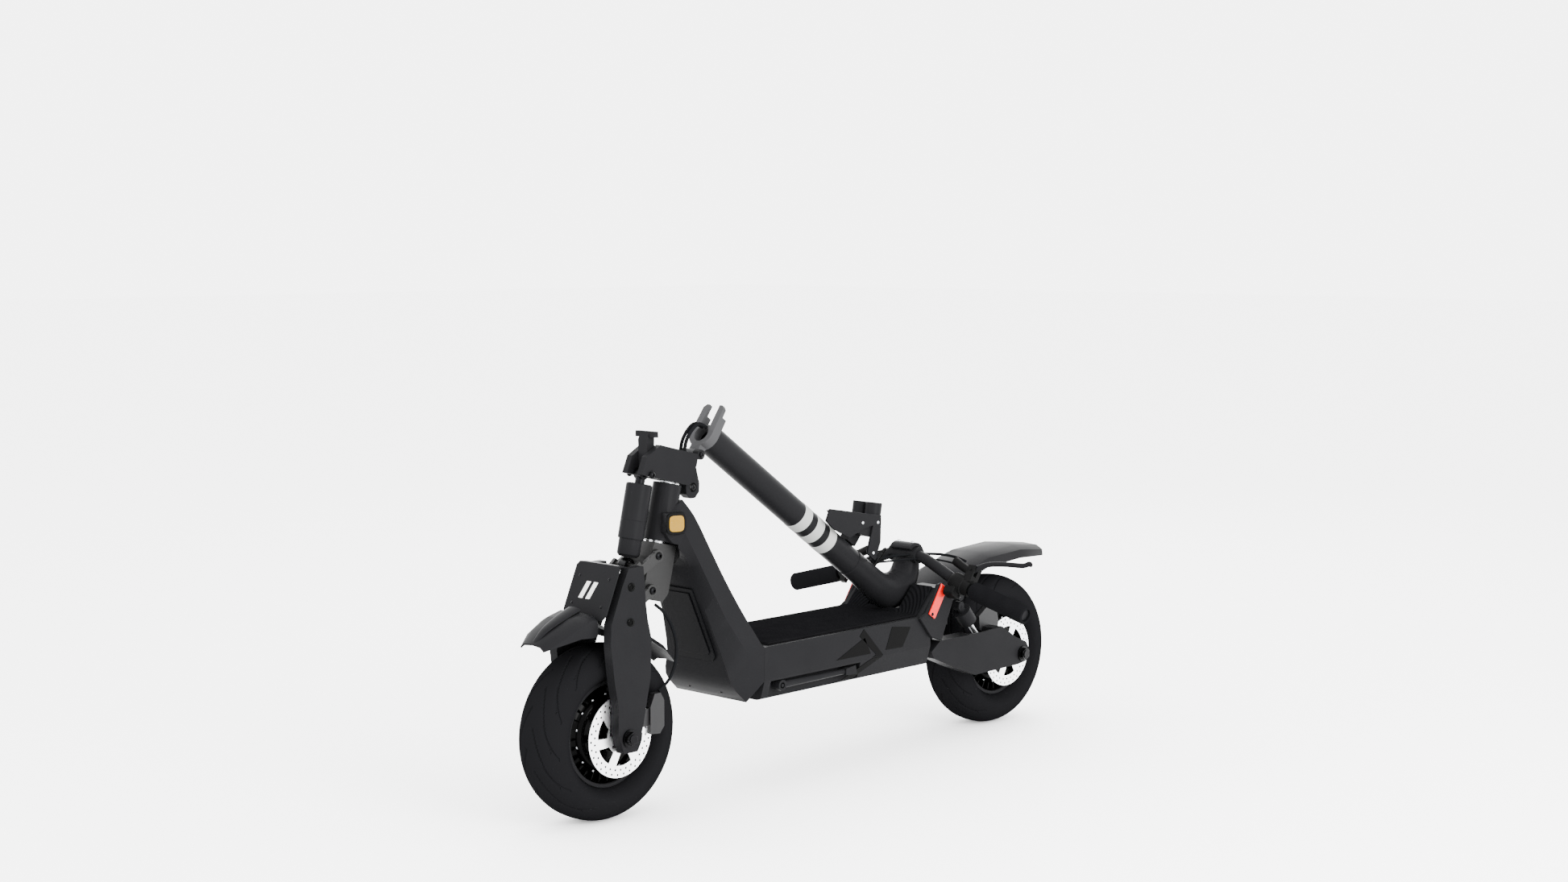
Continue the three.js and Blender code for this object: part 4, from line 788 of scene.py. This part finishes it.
def swept(name, points, sizes, material, steps=24, sides=24, flat_axis=None):
    """A bar along points, its half sizes in millimetres across and along the path's own plane."""
    flat_axis = Vector(flat_axis or ACROSS)
    rings = []
    for i in range(steps + 1):
        t = i / steps
        here = through(points, t)
        tangent = (through(points, min(t + 0.01, 1)) - through(points, max(t - 0.01, 0))).normalized()
        side = (flat_axis - tangent * flat_axis.dot(tangent)).normalized()
        other = tangent.cross(side)
        wide, deep = through([Vector(s) for s in sizes], t) * MM
        rings.append([here + side * (wide * math.cos(2 * math.pi * k / sides))
                      + other * (deep * math.sin(2 * math.pi * k / sides)) for k in range(sides)])
    return skin(name, rings, material)


band_grey = powder_coat("reflective_grey_film", "7c7d7b", "828381", 0.5, 0.03)
for k, low_edge in enumerate((288, 328, 368)):
    along = [(25.9, 0), (26.5, 0.3), (26.5, 22.7), (25.9, 23)]
    settle(turned(f"stem_band_{k}", along, on_stem(0, 0, low_edge), STEM_UP, band_grey, 64), "stem")

NECK = [((0, 0, 468), 26.5, 26.5), ((0, 0, 520), 27, 27), ((0, 0, 570), 30, 30), ((11, 0, 607), 32, 36),
        ((44, 0, 625), 31, 29), ((73, 0, 622), 28, 24), ((90, 0, 610), 26, 22)]
stand_for(swept("gooseneck_casting", [on_stem(*at) for at, wide, deep in NECK],
                [(wide, deep) for at, wide, deep in NECK], satin_black, 40, 40), "gooseneck")
settle(turned("gooseneck_seam", [(26.4, 0), (27.2, 0.4), (27.2, 1.6), (26.4, 2)], on_stem(0, 0, 470), STEM_UP,
              rim_grey, 64), "stem")
screws("bar_clamp_bolts", "stem", [(on_stem(112, y, 608 + du), STEM_FRONT) for y in (-17, 17)
                                   for du in (-14, 14)],
       4.2, 3.6, steel)

# ------------------------------------------------------------ fender spine and stem base
# The front fender is pressed with a raised spine down the middle, and the forked flange at the
# stem's foot is a machined casting in a lighter grey.
FRONT_AXLE_AHEAD = 523.3
AXLE_HEIGHT = 150


def round_axle(degrees, radius):
    """A point on a circle about the front axle, in millimetres."""
    turned_to = math.radians(degrees)
    return row(FRONT_AXLE_AHEAD + radius * math.cos(turned_to), 0, AXLE_HEIGHT + radius * math.sin(turned_to))


settle(swept("front_fender_spine", [round_axle(degrees, reach)
                                    for degrees, reach in ((50, 217), (59, 218), (68, 217.5), (77, 219.5))],
             [(4, 1), (10, 3), (14, 4), (16, 5)], satin_black, 32, 28), "fork")
cast_grey = powder_coat("cast_grey_flange_paint", "2c2c2d", "323233", 0.4, 0.1)
eased("stem_base", cast_grey, 2.4)

# ------------------------------------------------------------ bolts of the linkage and bracket
# Blackened steel button heads, screwed in with a hex key, on every pivot of the fork linkage, the
# shock, the fold hinge, the latch lever and the hook.
HEAD = Vector((344, 0, 615))
AHEAD = Vector((math.cos(math.radians(14)), 0, math.sin(math.radians(14))))
ALOFT = Vector((-math.sin(math.radians(14)), 0, math.cos(math.radians(14))))


def on_steering(ahead, y, aloft):
    """A point given in millimetres along and across the steering axis."""
    return (HEAD + AHEAD * ahead + ALOFT * aloft + ACROSS * y) * MM


pivots = [(22, -186.5), (78, -238), (22, -246.5), (78, -298)]
for body, spots in (("link_upper", pivots[:2]), ("link_lower", pivots[2:])):
    screws(body + "_bolts", body, [(on_steering(e, 32.8 * side, a), ACROSS * side) for e, a in spots
                                   for side in (1, -1)], 7.0, 4.2, dark_steel)
screws("shock_lug_bolts", "steering", [(on_steering(65, 28.6 * side, -54), ACROSS * side)
                                       for side in (1, -1)], 6.5,
       4.0, dark_steel)
screws("hinge_bolts", "steering", [(on_steering(-44, 26.5 * side, 0), ACROSS * side) for side in (1, -1)],
       5.0, 3.0, dark_steel)
screws("lever_bolt", "latch_lever", [(on_steering(-46, 16.8, -58), ACROSS)], 6.0, 2.4, dark_steel)
screws("hook_bolt", "latch_hook", [(on_steering(70.6, 0, -2), AHEAD)], 4.6, 1.6, dark_steel)

# ------------------------------------------------------------ front shock
# A sealed spring strut: a turned outer tube with rolled edges, and a dust sleeve on its rod that
# slides up inside it, down to a forged eye on the upper link.
eye_top = on_steering(65, 0, -54)
eye_foot = on_steering(61.7, 0, -211)
strut = (eye_foot - eye_top).normalized()
tube = [(12, 17), (20.5, 17), (22.3, 18.6), (22.5, 21), (22.5, 80), (22.1, 80.6), (22.5, 81.2), (22.5, 111),
        (21.6, 112.4), (20.6, 112), (20.6, 48), (12, 44)]
stand_for(turned("front_shock_tube", tube, eye_top, strut, satin_black, 64), "front_shock_body")
settle(turned("front_shock_head", [(0.5, 4), (8, 4), (8.6, 8), (8.6, 17), (13, 20), (13, 26), (0.5, 26)],
              eye_top, strut, dark_steel, 40), "front_shock_body")
settle(turned("front_shock_eye", [(4.6, -8.6), (9.4, -8.6), (10, -8), (10, 8), (9.4, 8.6), (4.6, 8.6)],
              eye_top, ACROSS, dark_steel, 40), "front_shock_body")
sleeve = [(9, 84), (19.4, 84), (19.8, 85), (19.8, 136), (19.2, 139), (15, 143), (9, 143)]
stand_for(turned("front_shock_sleeve", sleeve, eye_top, strut, satin_black, 64), "front_shock_rod")
settle(turned("front_shock_foot", [(7.7, -8.6), (11.6, -8.6), (12, -8), (12, 8), (11.6, 8.6), (7.7, 8.6)],
              eye_foot, ACROSS, dark_steel, 40), "front_shock_rod")

# ------------------------------------------------------------ fork crown plate
# A folded aluminium plate in the satin powder, held over the crown by four small screws and printed
# with two slanted white bars.
CROWN_LEAN = math.radians(22.8)
CROWN_UP = Vector((-math.sin(CROWN_LEAN), 0, math.cos(CROWN_LEAN)))
CROWN_OUT = ACROSS.cross(CROWN_UP)
plate_at = row(518.3, 0, 424)
stand_for(slab("fork_crown_plate", plate_at, ACROSS, CROWN_UP,
               [(-54, 4), (-48, 11), (48, 11), (54, 4), (54, -76), (44, -86), (-44, -86), (-54, -76)], 3.5,
               satin_black, 1.4), "crown_plate")
settle(slab("fork_crown_lip", plate_at + CROWN_UP * (7.5 * MM) + CROWN_OUT * (2.5 * MM), ACROSS,
            (-1, 0, -0.1), [(-48, 0), (48, 0), (48, 16), (-48, 16)], 3.2, satin_black, 1.4), "fork")
printed_white = powder_coat("printed_white_ink", "b8b8b6", "bfbfbe", 0.5, 0.02)
for k, shift in enumerate((-16, 2)):
    bar = [(shift - 9, -52), (shift + 1, -52), (shift + 11, -22), (shift + 1, -22)]
    settle(slab(f"crown_plate_bar_{k}", plate_at + CROWN_OUT * (3.45 * MM), ACROSS, CROWN_UP, bar, 0.3,
                printed_white, 0.05), "fork")
plate_face = plate_at + CROWN_OUT * (3.4 * MM)
screws("crown_plate_screws", "fork", [(plate_face + ACROSS * (y * MM) + CROWN_UP * (s * MM), CROWN_OUT)
                                      for y in (-37, 37) for s in (-14, -62)], 2.6, 1.4, dark_steel)
screws("fork_leg_screws", "fork", [(row(494, 55.6, 398), ACROSS), (row(503, 63.5, 340), ACROSS)], 7.5, 2.0,
       gloss_black)

# ------------------------------------------------------------ brake levers
# Forged aluminium blades in the satin powder, with a curled finger end and a ball tip. One is pinned
# to each perch.
BAR_BEND = Vector((55, 140, 635))
BAR_END = Vector((22, 293, 658))


BLADE = [((34, -2), 8, 4), ((40, 8), 7, 3.8), ((50, 26), 5.5, 3.6), ((55, 52), 5.2, 3.4), ((57, 84), 5, 3.2),
         ((58, 108), 5, 3.2), ((63, 120), 5.6, 3.6), ((60, 127), 3, 2.4)]
for side, hand in ((1, "left"), (-1, "right")):
    pivot = BAR_BEND.lerp(BAR_END, 15 / 153)
    path = [on_stem(pivot.x + front, side * (155 + out), pivot.z - 6) for (front, out), wide, deep in BLADE]
    stand_for(swept(f"brake_blade_{hand}", path, [(wide, deep) for at, wide, deep in BLADE], satin_black, 36,
                    20, STEM_FRONT), f"brake_lever_{hand}")

# ------------------------------------------------------------ control pod
# A moulded nylon thumb control, clamped round the bar inboard of the left perch, with a screwed
# switch box below it.


def on_bar(y, side=1, front=0, up=0):
    """A point beside the bar's straight end, y from the middle, shifted ahead and up in millimetres."""
    p = BAR_BEND.lerp(BAR_END, (y - BAR_BEND.y) / (BAR_END.y - BAR_BEND.y))
    return on_stem(p.x + front, side * p.y, p.z + up)


pod_from = on_bar(119)
pod_axis = (on_bar(150) - on_bar(119)).normalized()
pod = [(12.4, 0), (17.4, 0), (19.6, 3), (20, 8), (20, 19), (18, 23), (17.4, 28), (15.4, 30), (12.4, 30)]
stand_for(turned("control_pod_body", pod, pod_from, pod_axis, nylon, 48), "control_pod")
pod_at = on_bar(128)
settle(slab("switch_box", pod_at + STEM_FRONT * (-34 * MM) + STEM_UP * (-14 * MM) - pod_axis * (13 * MM),
            STEM_FRONT,
            STEM_UP, [(0, 4), (4, 0), (18, 0), (20, 6), (20, 22), (16, 27), (4, 27), (0, 22)], -24, nylon,
            2.0), "stem")
box_screw = pod_at - STEM_FRONT * (24 * MM) + ACROSS * (11.4 * MM) + STEM_UP * (8 * MM)
screws("switch_box_screws", "stem", [(box_screw, ACROSS)], 3.0, 2.0, dark_steel)

# ------------------------------------------------------------ headlight details
# Two clear lenses in the barrels, cooling discs on the barrels' backs, screws through the side
# plates and the lamp's own short leads.


def pipe(name, points, radius, material, steps=40, sides=12, flat_axis=None):
    """A round cable or pipe of one radius in millimetres."""
    return swept(name, points, [(radius, radius)] * len(points), material, steps, sides, flat_axis)


LAMP_DOWN = math.radians(25)
SHINE = STEM_FRONT * math.cos(LAMP_DOWN) - STEM_UP * math.sin(LAMP_DOWN)
lens_glass = acrylic("clear_polycarbonate", "9a9fa4", 4.0, 0.0)
LAMP_SIDES = {"left": [(15, 336), (39, 332), (77, 414), (100, 463), (58, 491), (21, 498), (21, 471),
                       (73, 454), (54, 434), (21, 410), (13, 363)],
              "right": [(66, 396), (77, 414), (100, 463), (58, 491), (21, 498), (21, 471), (73, 454),
                        (54, 434)]}
stand_for(slab("lamp_spine", on_stem(0, 31.6, 0), STEM_FRONT, STEM_UP,
               [(42, 428), (60, 438), (76, 452), (84, 470), (66, 484), (52, 462)], 63.2, satin_black, 1.5),
          "headlight_housing")
settle(slab("lamp_arm", on_stem(0, 12, 0), STEM_FRONT, STEM_UP,
            [(26.4, 432), (60, 436), (60, 462), (26.4, 458)], 24, satin_black, 2.0), "stem")
for side, hand in ((1, "left"), (-1, "right")):
    rim = on_stem(120, side * 16, 452)
    settle(slab(f"lamp_side_{hand}", on_stem(0, 32 if side > 0 else -37, 0), STEM_FRONT, STEM_UP,
                LAMP_SIDES[hand], -5, satin_black, 1.0), "stem")
    settle(turned(f"lamp_barrel_{hand}", [(2, -62), (14, -62), (15.4, -60), (15.8, -1), (15.2, 0), (13.6, 0),
                                          (13, -1), (13, -8), (2, -8)], rim, SHINE, satin_black, 56), "stem")
    settle(turned(f"lamp_lens_{hand}", [(0.2, -7.6), (12.9, -7.6), (12.9, -6.4), (8, -5), (0.2, -4.4)], rim,
                  SHINE, lens_glass, 48), "stem")
    settle(turned(f"lamp_fins_{hand}", [(13, -30)] + [(18.4 if k % 2 else 14.5,
                                                       -30 - k // 2 * 3.4 - (k % 2) * 0.4)
                                                       for k in range(1, 15)] + [(13, -56)], rim, SHINE,
                  rim_grey, 40),
           "stem")
screws("lamp_plate_screws", "stem", [(on_stem(62, 37.1, 425), ACROSS), (on_stem(84, 37.1, 462), ACROSS),
                                     (on_stem(30, 37.1, 484), ACROSS)], 3.2, 2.2, steel)
for k, (reach, swing) in enumerate(((16, 6), (10, -4))):
    lead = [on_stem(24, 20 + swing, 500), on_stem(38 + reach, 26 + swing, 512), on_stem(40 + reach, 20, 528),
            on_stem(16, 12, 526)]
    settle(pipe(f"lamp_lead_{k}", lead, 1.6, nylon, 24, 8), "stem")

# ------------------------------------------------------------ bar cables and fold cables
# Brake hose and wiring in rubber sheaths. Two arch from the left controls to the gooseneck and one
# from the right, and two more cross the fold hinge into the stem's mouth.
sheath = rubber("cable_sheath_rubber", "0b0c0d", 0.5, 2000.0, 0.0001)
arches = [([(104, 128, 632), (112, 96, 636), (112, 60, 632), (98, 30, 612), (70, 12, 572), (36, 4, 530)],
           2.6),
          ([(92, 124, 628), (96, 90, 626), (92, 56, 616), (78, 30, 596), (52, 16, 560), (30, 10, 528)], 1.8),
          ([(92, -124, 628), (98, -92, 628), (96, -56, 618), (80, -30, 596), (54, -14, 560), (30, -8, 528)],
           2.2)]
for k, (route, radius) in enumerate(arches):
    settle(pipe(f"bar_cable_{k}", [on_stem(*at) for at in route], radius, sheath), "stem")
for hand, y in (("left", 7), ("right", -3)):
    route = [(324.3, 611.2), (320, 628), (307, 646), (290, 656), (271, 649.2)]
    cable = pipe(f"fold_cable_{hand}_sheath", [row(x, y, z) for x, z in route], 3.2, sheath)
    for face in cable.data.polygons:
        face.use_smooth = True
    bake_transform(cable)
    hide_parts(f"fold_cable_{hand}")

# ------------------------------------------------------------ deck mat, grips and brake hose
# A ribbed rubber mat bonded into the tray, two moulded rubber grips pushed on the bar's ends, and the
# front brake's hose in its rubber sheath.
mat_rubber = rubber("deck_mat_rubber", "070708", 0.75, 700.0, 0.0003)
ribbed_mat = rubber("ribbed_mat_rubber", "070708", 0.7, 700.0, 0.0003)
# The ribs are nested rounded rectangles 7 mm apart: a wave of the distance inside the mat's edge.
RIB_PITCH = 7.0 * MM
MAT_HALF = (0.225, 0.088)
tree = ribbed_mat.node_tree
place = add_node(tree, "ShaderNodeTexCoord").outputs["Object"]
centred = add_node(tree, "ShaderNodeVectorMath", {0: place, 1: (-0.025, 0, 0)}, operation="SUBTRACT")
folded = add_node(tree, "ShaderNodeVectorMath", {0: centred.outputs["Vector"]}, operation="ABSOLUTE")
past = add_node(tree, "ShaderNodeVectorMath",
                {0: folded.outputs["Vector"], 1: (MAT_HALF[0] - 0.06, MAT_HALF[1] - 0.06, 0)},
                operation="SUBTRACT")
flat = add_node(tree, "ShaderNodeVectorMath", {0: past.outputs["Vector"], 1: (1, 1, 0)}, operation="MULTIPLY")
outside = add_node(tree, "ShaderNodeVectorMath", {0: flat.outputs["Vector"], 1: (0, 0, 0)},
                   operation="MAXIMUM")
reach = add_node(tree, "ShaderNodeVectorMath", {0: outside.outputs["Vector"]}, operation="LENGTH")
parts = add_node(tree, "ShaderNodeSeparateXYZ", {"Vector": flat.outputs["Vector"]})
deeper = add_node(tree, "ShaderNodeMath", {0: parts.outputs["X"], 1: parts.outputs["Y"]}, operation="MAXIMUM")
inside = add_node(tree, "ShaderNodeMath", {0: deeper.outputs["Value"], 1: 0.0}, operation="MINIMUM")
distance = add_node(tree, "ShaderNodeMath", {0: reach.outputs["Value"], 1: inside.outputs["Value"]},
                    operation="ADD")
wave = add_node(tree, "ShaderNodeMath", {0: distance.outputs["Value"], 1: 2 * math.pi / RIB_PITCH},
                operation="MULTIPLY")
height = add_node(tree, "ShaderNodeMath", {0: wave.outputs["Value"]}, operation="SINE")
raised = add_node(tree, "ShaderNodeBump",
                  {"Height": height.outputs["Value"], "Strength": 0.9, "Distance": 0.0009})
tree.links.new(raised.outputs["Normal"], tree.nodes["Principled BSDF"].inputs["Normal"])
eased("deck_mat", ribbed_mat, 1.2)
for node in ("grip_left", "grip_right"):
    eased(node, mat_rubber, 1.2)
eased("front_brake_hose", sheath, 0.2)
